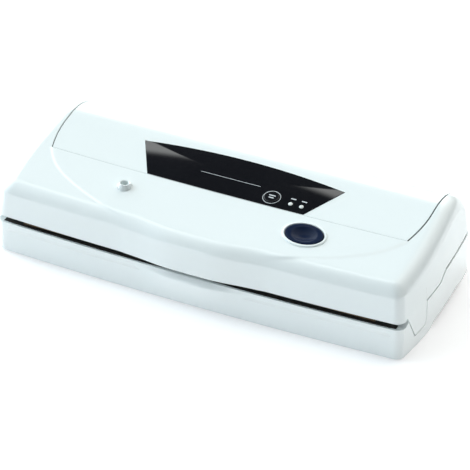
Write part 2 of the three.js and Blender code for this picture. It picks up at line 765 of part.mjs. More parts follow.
const headFront = MOTOR.y - PUMP_HEAD.halfY - GAP;
const vacuumRoute = [
  [VACUUM_PORT.x, headFront, 56],
  [VACUUM_PORT.x, headFront - 10, 56],
  [VACUUM_PORT.x, 60, 54],
  [VACUUM_PORT.x, 42, 50],
  [VACUUM_PORT.x, VACUUM_PORT.y, PANEL_Z + PANEL_THICK + 4],
  [VACUUM_PORT.x, VACUUM_PORT.y, PANEL_Z + PANEL_THICK + GAP],
];
place(lid, "vacuum_tube", hose(vacuumRoute, 3), FINISH.tube);
const canisterRoute = [
  [PORT.x, PORT.y, portLow - GAP],
  [PORT.x, PORT.y + 2, portLow - 5],
  [PORT.x + 18, 55, 49],
  [-30, 82, 49],
  [5, 86, 58],
  [28, headFront - 7, 64],
  [28, headFront, 64],
];
place(lid, "canister_tube", hose(canisterRoute, 2.6), FINISH.tube);

// ---------------------------------------------------------------- base casing

// Everything below the base's upper edge and above its skirt, which is raised at the handholds.
function baseRegion() {
  return solid(
    prismX(
      [
        [-30, SKIRT_Z],
        [50, SKIRT_Z],
        [56, SKIRT_Z + 3.6],
        [118, SKIRT_Z + 3.6],
        [123, SKIRT_Z],
        [170, SKIRT_Z],
        [170, HINGE_CHANNEL_Z],
        [141, HINGE_CHANNEL_Z],
        [141, BASE_TOP_REAR],
        [STEP_END, BASE_TOP_REAR],
        [STEP_START, BASE_TOP_FRONT],
        [13, BASE_TOP_FRONT],
        [9.4, RIM_Z + 1.6],
        [6, RIM_Z],
        [-30, RIM_Z],
      ],
      -WIDE,
      WIDE,
    ),
  ).add(solid(rimSwell()));
}

// The part of the front rim that stands higher, over the bulge in the middle.
function rimSwell() {
  const shape = new THREE.Shape();
  const bend = 32;
  shape.moveTo(-LIP_HALF, RIM_Z - 2);
  shape.lineTo(LIP_HALF, RIM_Z - 2);
  shape.lineTo(LIP_HALF, RIM_Z);
  shape.bezierCurveTo(bend, RIM_Z, bend, RIM_Z + RIM_RISE, 0, RIM_Z + RIM_RISE);
  shape.bezierCurveTo(-bend, RIM_Z + RIM_RISE, -bend, RIM_Z, -LIP_HALF, RIM_Z);
  const body = new THREE.ExtrudeGeometry(shape, { depth: 8, bevelEnabled: false, curveSegments: 6 });
  return body.rotateX(Math.PI / 2).translate(0, -2, 0);
}

// The inside of the base. The side walls are thick enough to hold the tab recesses.
function baseCavity() {
  const side = 9.5;
  const hollow = skin(baseSection, WALL, side);
  const room = solid(
    prismX(
      [
        [-30, -5],
        [170, -5],
        [170, HINGE_CHANNEL_Z - WALL],
        [138, HINGE_CHANNEL_Z - WALL],
        [138, BASE_TOP_REAR - WALL],
        [STEP_END, BASE_TOP_REAR - WALL],
        [STEP_START, BASE_TOP_FRONT - WALL],
        [12, BASE_TOP_FRONT - WALL],
        [5, RIM_Z - WALL],
        [-30, RIM_Z - WALL],
      ],
      -WIDE,
      WIDE,
    ),
  );
  return hollow.intersect(room);
}

// The heating bar's outline from above, grown by g: its front follows the bow of the front rim.
function sealBarOutline(g) {
  const end = SEAL_BAR.half + g;
  const frontEnd = SEAL_BAR.front - g;
  const shape = new THREE.Shape();
  shape.moveTo(end, SEAL_BAR.rear + g);
  shape.lineTo(-end, SEAL_BAR.rear + g);
  shape.lineTo(-end, frontEnd);
  shape.quadraticCurveTo(0, frontEnd - 2 * FRONT_BOW, end, frontEnd);
  return shape;
}

function baseHousing() {
  // The side walls stand on the skirt, so the cavity also opens downwards through them.
  let housing = skin(baseSection, 0).intersect(baseRegion()).subtract(baseCavity());
  const { half, rear } = DECK;
  const deckHole = roundedRectangle(half + GAP, SEAL_BAR.rear - 4, rear + GAP, 5);
  housing = housing.subtract(solid(prismZ(deckHole, 20, 60, 3)));
  housing = housing.subtract(solid(prismZ(sealBarOutline(GAP), 20, 60, 4)));
  const recess = (side) => {
    const [x0, x1] = side > 0 ? [RECESS_X, WIDE] : [-WIDE, -RECESS_X];
    return solid(prismX(tabOutline(0.8), x0, x1));
  };
  housing = housing.subtract(bothSides(recess));
  const { x, z, halfX, halfZ } = INLET;
  const hole = solid(
    box(x - halfX - GAP, x + halfX + GAP, 130, 160, z - halfZ - GAP, z + halfZ + GAP),
  );
  const plungerHole = solid(rodZ(SWITCH.bore, 25, 50, SWITCH.x, SWITCH.y, 14));
  return housing.subtract(hole).subtract(plungerHole);
}
place(base, "base_housing", geometryOf(baseHousing()), FINISH.casing);

function bottomPlate() {
  let plate = solid(prismZ(roundedRectangle(173, 3.5, 143, 9), PLATE_Z, PLATE_Z + 2, 4));
  for (const [x, y] of BASE_SCREWS) {
    plate = plate.subtract(solid(rodZ(SCREW_HOLE_R, 0, 12, x, y, 12)));
  }
  return plate;
}
place(base, "bottom_plate", geometryOf(bottomPlate()), FINISH.innerWhite);
BASE_SCREWS.forEach(([x, y], i) => {
  place(base, `base_screw_${i + 1}`, screw(10), FINISH.steel, [x, y, PLATE_Z - GAP]);
});
const footProfile = [
  [0, 0],
  [FOOT.r - 0.8, 0],
  [FOOT.r, 0.8],
  [FOOT.r - 0.6, PLATE_Z - GAP],
  [0, PLATE_Z - GAP],
];
for (const [row, y] of [
  ["front", FOOT.front],
  ["rear", FOOT.rear],
]) {
  for (const [side, x] of [
    ["left", -FOOT.x],
    ["right", FOOT.x],
  ]) {
    place(base, `foot_${row}_${side}`, turned(footProfile, 18), FINISH.rubber, [x, y, 0]);
  }
}

// ---------------------------------------------------------------- sealing deck

const TRAY_WALL = 2.2;
const { half: troughHalf, front: troughFront, rear: troughRear, floor: troughFloor } = TROUGH;

// The tray's outline from above, grown by g.
function trayOutline(g, radius) {
  return roundedRectangle(troughHalf + g, troughFront - g, troughRear + g, radius);
}

// A flat ring whose inner edge turns down into a collar: the walls of the vacuum chamber.
function sealingDeck() {
  const { half, front, rear, low, top } = DECK;
  const plate = solid(prismZ(roundedRectangle(half, front, rear, 2), low, top, 3));
  const collar = solid(prismZ(trayOutline(TRAY_WALL, 4), troughFloor, top, 3));
  return plate.add(collar).subtract(solid(prismZ(trayOutline(0, 2.5), 10, 60, 3)));
}
place(base, "sealing_deck", geometryOf(sealingDeck()), FINISH.innerWhite);

// The tray under the collar is the bottom of the vacuum chamber.
const trayTop = troughFloor - GAP;
const dripTray = prismZ(trayOutline(TRAY_WALL, 4), trayTop - TRAY_WALL, trayTop, 3);
place(base, "drip_tray", dripTray, FINISH.innerWhite);
const lowerGasket = gasketRing(DECK.top + GAP, GASKET_MEET - GAP / 2);
place(base, "lower_gasket", lowerGasket, FINISH.rubber);
const { low: barLow, top: barTop } = SEAL_BAR;
const barHalf = 160;
const carrier = prismZ(sealBarOutline(0), barLow, barTop, 8);
place(base, "heating_bar", carrier, FINISH.phenolic);
const strip = box(-barHalf + 4, barHalf - 4, barMiddle - 1.6, barMiddle + 1.6, 0, 0.3);
place(base, "heating_strip", strip, FINISH.steel, [0, 0, barTop + GAP]);
const tape = box(-barHalf + 2, barHalf - 2, barMiddle - 3.6, barMiddle + 3.6, 0, 0.3);
place(base, "nonstick_tape", tape, FINISH.tape, [0, 0, barTop + 3 * GAP]);

// ---------------------------------------------------------------- electrics in the base

const floorZ = PLATE_Z + 2 + GAP;
const CORE = { x: -10, y: 100, halfX: 24, halfY: 20, height: 27 };
function transformerCore() {
  const { x, y, halfX, halfY, height } = CORE;
  const block = solid(box(x - halfX, x + halfX, y - halfY, y + halfY, floorZ, floorZ + height));
  const window = (side) => {
    const at = x + side * 12;
    return solid(box(at - 5, at + 5, y - halfY - 1, y + halfY + 1, floorZ + 7, floorZ + 20));
  };
  return block.subtract(bothSides(window));
}
place(base, "transformer_core", geometryOf(transformerCore()), FINISH.steel);
for (const [side, at] of [
  ["left", CORE.x - 12],
  ["right", CORE.x + 12],
]) {
  const coil = box(at - 4.7, at + 4.7, 74, 126, floorZ + 7.3, floorZ + 19.7);
  place(base, `transformer_coil_${side}`, coil, FINISH.copper);
}
const powerBoard = box(40, 130, 80, 130, floorZ + 3, floorZ + 4.6);
place(base, "power_board", powerBoard, FINISH.board);

function inletSocket() {
  const { x, z, halfX, halfZ, depth, pinX } = INLET;
  const body = solid(box(x - halfX, x + halfX, REAR_Y - depth, REAR_Y - 0.4, z - halfZ, z + halfZ));
  const lobe = (side) => {
    const rod = rodX(4, -1, 1, 0, 0, 16).rotateZ(Math.PI / 2).scale(1, depth, 1);
    return solid(rod.translate(x + side * pinX, REAR_Y, z));
  };
  const waist = solid(box(x - pinX, x + pinX, REAR_Y - depth, REAR_Y + 9, z - 4, z + 4));
  const mouth = bothSides(lobe).add(waist);
  const backWall = solid(box(x - 20, x + 20, REAR_Y - depth + 3, REAR_Y + 20, z - 20, z + 20));
  return body.subtract(mouth.intersect(backWall));
}
place(base, "inlet_socket", geometryOf(inletSocket()), FINISH.darkPlastic);
for (const [side, at] of [
  ["left", INLET.x - INLET.pinX],
  ["right", INLET.x + INLET.pinX],
]) {
  const pin = rodX(1.2, 0, 9, 0, 0, 12).rotateZ(Math.PI / 2);
  const pinAt = [at, REAR_Y - INLET.depth + 3 + GAP, INLET.z];
  place(base, `inlet_pin_${side}`, pin, FINISH.steel, pinAt);
}

function switchBody() {
  const { x, y, bore } = SWITCH;
  const block = solid(box(x - 9, x + 9, y - 5, y + 5, 16, 27));
  return block.subtract(solid(rodZ(bore, 19, 40, x, y, 14)));
}
place(base, "lid_switch_body", geometryOf(switchBody()), FINISH.darkPlastic);
const plunger = turned(
  [
    [0, 22],
    [2, 22],
    [2, 35],
    [1.2, 35.8],
    [0, 36],
  ],
  14,
);
place(base, "lid_switch_plunger", plunger, FINISH.lens, [SWITCH.x, SWITCH.y, 0]);

// ---------------------------------------------------------------- hinges

// Each bracket has two cheeks either side of the lid's knuckle, on one foot in the channel.
function hingeBracket() {
  const foot = solid(box(-10, 10, HINGE_Y - 2.6, HINGE_Y + 2.8, HINGE_Z - 3.9, HINGE_Z - 3.3));
  const cheek = (side) => {
    const inner = KNUCKLE_HALF + GAP;
    const [x0, x1] = side > 0 ? [inner, 9.4] : [-9.4, -inner];
    const eye = solid(rodX(2.8, x0, x1, HINGE_Y, HINGE_Z));
    const leg = box(x0, x1, HINGE_Y - 2.6, HINGE_Y + 2.8, HINGE_Z - 3.9, HINGE_Z);
    return eye.add(solid(leg));
  };
  const bore = solid(rodX(PIN_R + GAP, -20, 20, HINGE_Y, HINGE_Z, 16));
  return foot.add(bothSides(cheek)).subtract(bore);
}
for (const [side, at] of [
  ["left", -HINGE_X],
  ["right", HINGE_X],
]) {
  place(base, `hinge_bracket_${side}`, geometryOf(hingeBracket()), FINISH.darkPlastic, [at, 0, 0]);
  const pin = rodX(PIN_R, -9.2, 9.2, HINGE_Y, HINGE_Z, 16);
  place(base, `hinge_pin_${side}`, pin, FINISH.steel, [at, 0, 0]);
}

// The origin is the middle of the footprint.
const frontmost = -FRONT_BOW - 0.2 - NOSE - RAISED;
machine.position.y = -(REAR_Y + frontmost) / 2;

export default group;
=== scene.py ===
"""Looks of a countertop vacuum sealer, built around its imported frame."""
import json
import math

import bmesh
import bpy
import numpy as np
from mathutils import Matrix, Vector


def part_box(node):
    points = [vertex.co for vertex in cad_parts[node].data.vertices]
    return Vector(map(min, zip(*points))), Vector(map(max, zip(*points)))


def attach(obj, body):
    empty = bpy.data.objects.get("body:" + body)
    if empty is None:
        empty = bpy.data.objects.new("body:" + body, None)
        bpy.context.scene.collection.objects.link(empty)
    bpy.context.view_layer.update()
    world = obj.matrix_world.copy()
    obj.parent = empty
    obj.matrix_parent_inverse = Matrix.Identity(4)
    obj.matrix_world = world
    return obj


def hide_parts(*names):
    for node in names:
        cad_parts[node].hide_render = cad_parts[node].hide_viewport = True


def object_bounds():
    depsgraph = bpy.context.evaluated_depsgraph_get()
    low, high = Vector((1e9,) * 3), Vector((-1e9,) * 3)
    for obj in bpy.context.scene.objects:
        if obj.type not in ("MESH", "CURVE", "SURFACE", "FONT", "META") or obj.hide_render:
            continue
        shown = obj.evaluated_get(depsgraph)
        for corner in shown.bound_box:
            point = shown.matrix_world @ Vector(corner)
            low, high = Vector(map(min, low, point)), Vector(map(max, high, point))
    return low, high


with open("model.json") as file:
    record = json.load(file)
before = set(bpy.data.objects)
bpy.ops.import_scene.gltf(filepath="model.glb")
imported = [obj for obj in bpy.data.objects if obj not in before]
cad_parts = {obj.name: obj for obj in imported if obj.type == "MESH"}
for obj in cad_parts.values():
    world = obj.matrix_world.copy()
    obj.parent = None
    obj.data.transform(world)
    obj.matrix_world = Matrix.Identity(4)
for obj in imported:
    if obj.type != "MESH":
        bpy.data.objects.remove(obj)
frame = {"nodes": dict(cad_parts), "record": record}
CAD_LOW, CAD_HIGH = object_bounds()

bl_info = {
    "name": "Vacuum sealer looks",
    "version": (1, 0, 0),
    "blender": (4, 5, 0),
    "location": "View3D > Sidebar > Sealer",
    "description": "Casing, panel, button, seals, finishes and studio of a countertop vacuum sealer",
    "category": "Object",
}

# ---------------------------------------------------------------- sizes shared with the frame
# Millimetres. x runs along the machine, z up; y counts from the plane of the two front corners.

MM = 0.001
DECK_FRONT = 12.6  # the sealing deck begins this far behind that plane
FRONT_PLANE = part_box("sealing_deck")[0].y / MM - DECK_FRONT

HALF_LENGTH = 186.6
WIDEST_Y = 60.0
SIDE_BOW = (0.0015, 0.0007)  # ahead of the widest place and behind it
REAR_Y = 148.0
FRONT_BOW = 4.6
FRONT_CORNER = 7.0
REAR_CORNER = 12.0
SHOULDER = 12.0
SIDE_DRAFT = 0.13
DRAFT_FROM = 34.8
LID_EDGE_Z = 34.7
CREASE_Z = 55.0
ROUND_DEPTH = 15.0  # the band that leads from the crease to the flat top ends this far back
FACE_LEAN = 2.8
TURN_RADIUS = 6.0  # small rounding at the crease, from the front face to the band
TURN = (math.radians(82), math.radians(58))  # from this steepness to this
TURN_ROWS = 4
BAND_CURVE = ((0, 0), (0.264, 0.534), (0.661, 0.93), (1, 1))  # shares of the depth and the rise
SLOPE = 0.1645
SLOPE_Z = 63.3
CROWN_Y = 110.0
CROWN_Z = 56.0
CROWN_RISE = 24.7
CROWN_TANGENT = math.acos(-0.245)
NOSE = 3.7  # the front bulges by this much in the middle
NOSE_SPAN = (15, 64)  # and the bulge fades out between these distances from the middle
LID_PROUD = 0.2  # the lid's front face stands this far ahead of the base's
LID_WALL = 2.3
REAR_EDGE_Z = 41.4
COVER_FRONT_Y = 58.5
COVER_FRONT_HALF = 161.0
COVER_REAR_HALF = 166.8
COVER_FULL_Y = 92.0
BUTTON = (81.4, 35.2, 17.0, 12.0)  # x, y, half sizes
PORT = (-80.0, 35.5, 6.0, 3.4)  # x, y, outer and bore radius
KEY = (38.0, 66.6, 6.2)
LIGHTS_X = (55.6, 65.3)
LIGHTS_Y = 64.6
LABEL = (70.4, 91.0, 56.9, 93.0)  # half length in front and behind, y of the front and rear corners
LABEL_BOW = (0.5, 7.1)  # how far its front and rear edges bow out in the middle
LIP = 4.2
SKIRT_Z = 1.0
RIM_Z = 29.0
RIM_RISE = 0.8
RIM_WIDTH = 1.6
RECESS_X = 178.8
HOLE_HALF = 172.0
HOLE_REAR = 57.9
HINGE = (126.0, 144.8, 40.6, 3.0)  # x, y, z, knuckle radius
BUTTON_WELL = 6.5  # depth of the well under the release button
PORT_WELL = 13.0  # depth of the well under the hose port
PANEL_DEPTH = 1.3  # the control panel reaches this far below the cover's surface
PRINT_RISE = 0.04  # thickness of the printed marks
BAR_WIDTH = 1.1  # width of the short printed bars
SUNK = 0.5  # the key and the lights reach this far below the cover's surface
KEY_RISE = 0.74  # the key's top over the panel, enough to stay above it when pressed
LENS_DOME = ((1.9, 0.1), (1.6, 0.45), (1.0, 0.68), (0, 0.76))  # radius, and height over the panel


# ---------------------------------------------------------------- shape helpers


def smooth(a, b, v):
    """0 below a, 1 above b, with a soft S between them."""
    t = np.clip((v - a) / (b - a), 0, 1)
    return t * t * (3 - 2 * t)


def half_width(y):
    """Half of the machine's length at depth y: the sides bow gently."""
    bow = np.where(y < WIDEST_Y, *SIDE_BOW)
    return HALF_LENGTH - bow * (y - WIDEST_Y) ** 2


def front_face(x):
    """Depth of the front face: it bows out in the middle."""
    return -FRONT_BOW * (1 - np.minimum(1, (x / 181) ** 2))


def top_slope(y):
    """Height of the lid's flat top at depth y."""
    return SLOPE_Z + SLOPE * y


def corner_inset(s, r):
    """How far a corner of radius r draws a face in, at distance s from the next face."""
    reach = np.clip(r - s, 0, r)
    return r - np.sqrt(r * r - reach * reach)


def cover_front(x):
    """Depth of the cover's front edge: it bows with the machine."""
    return COVER_FRONT_Y - 2.5 * (1 - np.minimum(1, (x / COVER_FRONT_HALF) ** 2))


def seam_x(y):
    """Distance of the two side seams from the middle at depth y."""
    t = np.clip((y - COVER_FRONT_Y) / (COVER_FULL_Y - COVER_FRONT_Y), 0, 1)
    return COVER_FRONT_HALF + (COVER_REAR_HALF - COVER_FRONT_HALF) * (1 - (1 - t) ** 1.8)


def bezier(points, t):
    """A cubic curve through its first and last point, pulled towards the two between them."""
    p = np.array(points, float)
    t = np.asarray(t)[:, None]
    a, b, c, d = p
    return a * (1 - t) ** 3 + 3 * b * t * (1 - t) ** 2 + 3 * c * t * t * (1 - t) + d * t**3


RAISED_EDGE = bezier([(160, 57), (146, 32), (118, 20), (62, 2)], np.linspace(0, 1, 80))
RAISED_TAIL = [(62, -3), (62, -30)]  # the edge then runs straight down the front face
RAISED_STOP = (0.2, 0.6)  # the raised panel fades out over this distance from the cover


def raised_weight(x, y, soft):
    """How far a point lies inside the raised front panel: 0 outside, 1 inside, soft at the edge."""
    edge = np.vstack([RAISED_EDGE, RAISED_TAIL])
    a, b = edge[:-1], edge[1:]
    p = np.stack([np.abs(x).ravel(), y.ravel()], 1)
    along = b - a
    t = ((p[:, None] - a) * along).sum(2) / (along * along).sum(1)
    near = a + np.clip(t, 0, 1)[..., None] * along
    far = np.linalg.norm(p[:, None] - near, axis=2).min(1)
    order = np.argsort(edge[:, 1])
    edge_x = np.interp(p[:, 1], edge[order, 1], edge[order, 0])
    inside = np.where(p[:, 0] < edge_x, far, -far)
    ahead_of_cover = cover_front(p[:, 0]) - p[:, 1]
    half = soft.ravel() / 2
    weight = smooth(-half, half, inside) * smooth(*RAISED_STOP, ahead_of_cover)
    return weight.reshape(x.shape)


def grid_faces(rows, columns, close=False):
    """Four-sided faces between neighbouring points of a grid stored row by row."""
    c = np.arange(columns if close else columns - 1)
    r = np.arange(rows - 1)[:, None]
    right = (c + 1) % columns
    corners = [r * columns + c, r * columns + right, (r + 1) * columns + right, (r + 1) * columns + c]
    return np.stack(corners, -1).reshape(-1, 4)


def joined(parts):
    """Several (points, faces) pairs as one."""
    points, faces, count = [], [], 0
    for p, f in parts:
        points.append(p.reshape(-1, 3))
        faces.append(f + count)
        count += len(points[-1])
    return np.concatenate(points), np.concatenate(faces)


def open_edges(points, faces):
    """Directed edges that only one face uses, with points at the same place counted as one."""
    _, same = np.unique(np.round(points, 4), axis=0, return_inverse=True)
    same = same.ravel()
    a = faces.ravel()
    b = np.roll(faces, -1, axis=1).ravel()
    ends = np.stack([same[a], same[b]], 1)
    real = ends[:, 0] != ends[:, 1]
    ends, a, b = ends[real], a[real], b[real]
    key = np.sort(ends, axis=1)
    _, index, counts = np.unique(key, axis=0, return_inverse=True, return_counts=True)
    once = counts[index.ravel()] == 1
    return np.stack([a[once], b[once]], 1)


def walled(outer, inner, faces):
    """Closes an open skin: its outer side, its inner side turned round, and a strip along each open edge."""
    edges = open_edges(outer, faces)
    n = len(outer)
    rim = np.stack([edges[:, 1], edges[:, 0], edges[:, 0] + n, edges[:, 1] + n], 1)
    return np.concatenate([outer, inner]), np.concatenate([faces, faces[:, ::-1] + n, rim])


def ring_skin(rings):
    """A closed skin over a stack of closed rings, each with as many points; both ends are closed by
    shrinking the end ring to its middle."""
    first = rings[0].mean(0) + (rings[0] - rings[0].mean(0)) * 0
    last = rings[-1].mean(0) + (rings[-1] - rings[-1].mean(0)) * 0
    stack = np.stack([first, *rings, last])
    return stack.reshape(-1, 3), grid_faces(len(stack), stack.shape[1], close=True)


def turned(profile, at, segments=48):
    """A profile of (radius, height) pairs turned about an upright axis at (x, y)."""
    r, z = np.array(profile, float).T
    angle = np.linspace(0, 2 * math.pi, segments, endpoint=False)
    x = at[0] + r[:, None] * np.cos(angle)
    y = at[1] + r[:, None] * np.sin(angle)
    points = np.stack([x, y, np.broadcast_to(z[:, None], x.shape)], -1)
    return points.reshape(-1, 3), grid_faces(len(r), segments, close=True)


def rounded_profile(outline, radius, steps=4):
    """Rounds the corners of a closed (a, b) outline with short arcs of that radius."""
    p = np.array(outline, float)
    before, after = np.roll(p, 1, 0), np.roll(p, -1, 0)
    t = np.linspace(0, 1, steps + 1)[:, None]
    out = []
    for here, prior, following in zip(p, before, after):
        back = prior - here
        ahead = following - here
        reach = min(radius, 0.45 * np.linalg.norm(back), 0.45 * np.linalg.norm(ahead))
        a = here + back / np.linalg.norm(back) * reach
        b = here + ahead / np.linalg.norm(ahead) * reach
        out.append(a * (1 - t) ** 2 + 2 * here * t * (1 - t) + b * t * t)
    return np.concatenate(out)


def rounded_rectangle(half_x, y0, y1, radius, steps=8):
    """A closed outline of a rectangle with round corners."""
    angle = np.linspace(0, math.pi / 2, steps + 1)
    out = []
    corners = [(half_x, y1, 0), (-half_x, y1, 1), (-half_x, y0, 2), (half_x, y0, 3)]
    for x, y, turn in corners:
        a = angle + turn * math.pi / 2
        middle = (x - math.copysign(radius, x), y - math.copysign(radius, y - (y0 + y1) / 2))
        out.append(np.stack([middle[0] + radius * np.cos(a), middle[1] + radius * np.sin(a)], 1))
    return np.concatenate(out)


def outline_normals(outline):
    """Outward directions of a closed outline that runs anticlockwise."""
    along = np.roll(outline, -1, 0) - np.roll(outline, 1, 0)
    out = np.stack([along[:, 1], -along[:, 0]], 1)
    return out / np.linalg.norm(out, axis=1, keepdims=True)


def swept(outline, profile):
    """A closed profile of (outward, height) pairs carried round a closed outline."""
    out = outline_normals(outline)
    plan = outline[None] + np.array(profile)[:, None, :1] * out[None]
    z = np.broadcast_to(np.array(profile)[:, 1:2], plan.shape[:2])
    points = np.concatenate([plan, z[..., None]], -1)
    looped = np.concatenate([points, points[:1]])
    return looped.reshape(-1, 3), grid_faces(len(looped), len(outline), close=True)


def slab(outline, low, high, radius, steps=4):
    """A plate over an outline, its upper edge rounded by radius; heights may differ along the outline."""
    out = outline_normals(outline)
    angle = np.linspace(0, math.pi / 2, steps + 1)
    rings = [np.column_stack([outline, np.broadcast_to(low, len(outline))])]
    for a in angle:
        plan = outline - out * radius * (1 - math.cos(a))
        height = np.broadcast_to(high, len(outline)) - radius * (1 - math.sin(a))
        rings.append(np.column_stack([plan, height]))
    return ring_skin(rings)


def on_slope(points, lift=0.0):
    """Moves heights that count from the lid's slope to the machine's own."""
    out = points.copy()
    out[:, 2] += top_slope(points[:, 1]) + lift
    return out


# ---------------------------------------------------------------- pieces


def piece(name, body, shape, material, nodes=(), angle=32):
    """Puts points and faces into a mesh, merges doubled points, turns faces outwards, and rides it."""
    points, faces = shape
    places = (points + np.array([0, FRONT_PLANE, 0])) * MM
    mesh = bpy.data.meshes.new(name)
    mesh.from_pydata(places.tolist(), [], faces.tolist())
    work = bmesh.new()
    work.from_mesh(mesh)
    bmesh.ops.remove_doubles(work, verts=work.verts, dist=2e-6)
    bmesh.ops.dissolve_degenerate(work, edges=work.edges, dist=1e-6)
    bmesh.ops.recalc_face_normals(work, faces=work.faces)
    work.to_mesh(mesh)
    work.free()
    mesh.shade_smooth()
    mesh.set_sharp_from_angle(angle=math.radians(angle))
    mesh.materials.append(material)
    made = bpy.data.objects.new(name, mesh)
    bpy.context.scene.collection.objects.link(made)
    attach(made, body)
    if nodes:
        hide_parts(*nodes)
    return made


# ---------------------------------------------------------------- lid and cover

WALL_ROWS = 12
ROUND_ROWS = 14
SLOPE_ROWS = 50
LABEL_ROWS = 14
CROWN_ROWS = 24
INNER_COLUMNS = 290
COVER_END_ROW = 5  # the cover ends this many rows down the rear wall
PLAIN_COLUMN = 150  # a column near the middle, well away from the rounded shoulders
SEAM_STATION = 0.88  # a row's depth and height at its seams are taken at this share of its length
STEP_SPREAD = 7.0  # the raised panel's step is this much wider on the front face
NOTCH_ROWS = 3
NOTCH_HALF = 11
ROW_COUNTS = {
    "turn": TURN_ROWS,
    "round": ROUND_ROWS,
    "slope": SLOPE_ROWS,
    "label": LABEL_ROWS,
    "crown": CROWN_ROWS,
    "rear": WALL_ROWS,
}


def lid_columns():
    """Column stations: shares of the distance to the seam, and, for the round shoulder beyond it,
    shares of the half length that lie closer together towards the side wall."""
    inner = np.linspace(-1, 1, INNER_COLUMNS + 1)
    phi = np.linspace(0, math.pi / 2, 13)
    edge = 1 - SHOULDER * (1 - np.sin(phi)) / HALF_LENGTH
    return inner, edge


def lid_rows(u, inset):
    """At stations u, drawn in by inset: distance from the middle, depth of the front and rear faces,
    and how far the top drops towards the sides."""
    x = np.abs(u) * HALF_LENGTH
    s = (HALF_LENGTH - inset) * (1 - np.abs(u))
    nose = NOSE * (1 - smooth(*NOSE_SPAN, x))
    front = front_face(x) - LID_PROUD - nose + inset + corner_inset(s, FRONT_CORNER - inset)
    rear = REAR_Y - inset - corner_inset(s, REAR_CORNER - inset)
    drop = inset + corner_inset(s, SHOULDER - inset)
    return x, front, rear, drop


def lid_skin(inset, sizes):
    """The lid's skin over a grid. Rows run up the front face, over its small turn and the band above
    it, back along the slope to the cover's front edge, on to the crown, over it on an ellipse and
    down the rear wall. Columns share out the length so that one column lies on each side seam.
    inset draws the skin in; the raised front panel pushes it out."""
    inner, edge = lid_columns()
    kinds = [("face", q) for q in np.linspace(0, 1, WALL_ROWS + 1)]
    for kind, count in ROW_COUNTS.items():
        kinds += [(kind, q) for q in np.linspace(0, 1, count + 1)[1:]]
    rows = [lid_row(kind, q, inner, edge, inset, sizes) for kind, q in kinds]
    return np.stack(rows), [kind for kind, _ in kinds]


def row_shape(kind, q, u, inset):
    """(y, z) of one row at stations u: a straight lean on the front face, an arc on the turn, a cubic
    curve on the band, the slope's plane, an ellipse on the crown, and a straight rear wall."""
    x, front, rear, drop = lid_rows(u, inset)
    start = front + ROUND_DEPTH
    crown_start = CROWN_Y + (rear - CROWN_Y) * math.cos(CROWN_TANGENT)
    line = cover_front(x)
    if kind == "face":
        return front + FACE_LEAN * q, LID_EDGE_Z + (CREASE_Z - LID_EDGE_Z) * q + 0 * x
    steep, gentle = TURN
    if kind == "turn":
        a = steep + (gentle - steep) * q
        y = front + FACE_LEAN + TURN_RADIUS * (math.sin(steep) - math.sin(a))
        return y, CREASE_Z + TURN_RADIUS * (math.cos(a) - math.cos(steep)) + 0 * x
    if kind == "round":
        low_y = front + FACE_LEAN + TURN_RADIUS * (math.sin(steep) - math.sin(gentle))
        low_z = CREASE_Z + TURN_RADIUS * (math.cos(gentle) - math.cos(steep))
        along, up = bezier(BAND_CURVE, [q])[0]
        return low_y + (start - low_y) * along, low_z + (top_slope(start) - drop - low_z) * up
    if kind == "slope":
        y = start + (line - start) * q
        return y, top_slope(y) - drop
    if kind == "label":
        y = line + (crown_start - line) * q
        return y, top_slope(y) - drop
    if kind == "crown":
        a = CROWN_TANGENT * (1 - q)
        y = CROWN_Y + (rear - CROWN_Y) * math.cos(a)
        return y, CROWN_Z + (CROWN_RISE - drop) * math.sin(a)
    return rear, CROWN_Z + (REAR_EDGE_Z - CROWN_Z) * q + 0 * x


def lid_row(kind, q, inner, edge, inset, sizes):
    """One row of points across the lid."""
    (_, seam_y), (_, seam_z) = row_shape(kind, q, np.array([0.0, SEAM_STATION]), 0)
    reach = half_width(seam_y) - SIDE_DRAFT * max(0, seam_z - DRAFT_FROM)
    seam = seam_x(seam_y) / reach
    first = edge[0]
    strip = np.concatenate([seam + (first - seam) * np.array([1 / 3, 2 / 3]), edge])
    u = np.concatenate([-strip[::-1], inner * seam, strip])
    y, z = row_shape(kind, q, u, inset)
    if inset == 0:
        soft = sizes.raised_edge / MM + STEP_SPREAD * (1 - smooth(-2, 6, y))
        pushed_out = sizes.raised / MM * raised_weight(u * reach, y, soft)
        y, z = row_shape(kind, q, u, -pushed_out)
    x = u * (half_width(y) - inset - SIDE_DRAFT * np.maximum(0, z - DRAFT_FROM))
    z = z - pockets(x, y)
    return np.stack([x, y, z], -1)


def pockets(x, y):
    """Depth of the two wells under the release button and the hose port."""
    bx, by, half_x, half_y = BUTTON
    oval = np.hypot((x - bx) / half_x, (y - by) / half_y)
    px, py, outer, bore = PORT
    ring = np.hypot(x - px, y - py)
    under_button = BUTTON_WELL * (1 - smooth(1.0, 1.09, oval))
    under_port = PORT_WELL * (1 - smooth(bore + 0.3, outer - 0.4, ring))
    return under_button + under_port


TAB_EDGE = np.array(
    [(-40, LID_EDGE_Z), (6.9, LID_EDGE_Z), (9.4, 36.4), (22.4, 12.4), (37.6, 12.4), (41.0, 16.6),
     (41.05, 35.5), (68, 35.5), (80, 40.8), (135.5, 40.8), (136.0, REAR_EDGE_Z), (170, REAR_EDGE_Z)]
)  # depth and height of the side's lower edge
TAB_MARKS = (22.4, 37.6, 41.0)  # depths of the tab's lower corners, each of which gets a column
TAB_REAR = 41.05  # the tab's rear edge rises between its last mark and here
LEAN_FADE = 12  # the front face's lean fades out over this depth along the sides


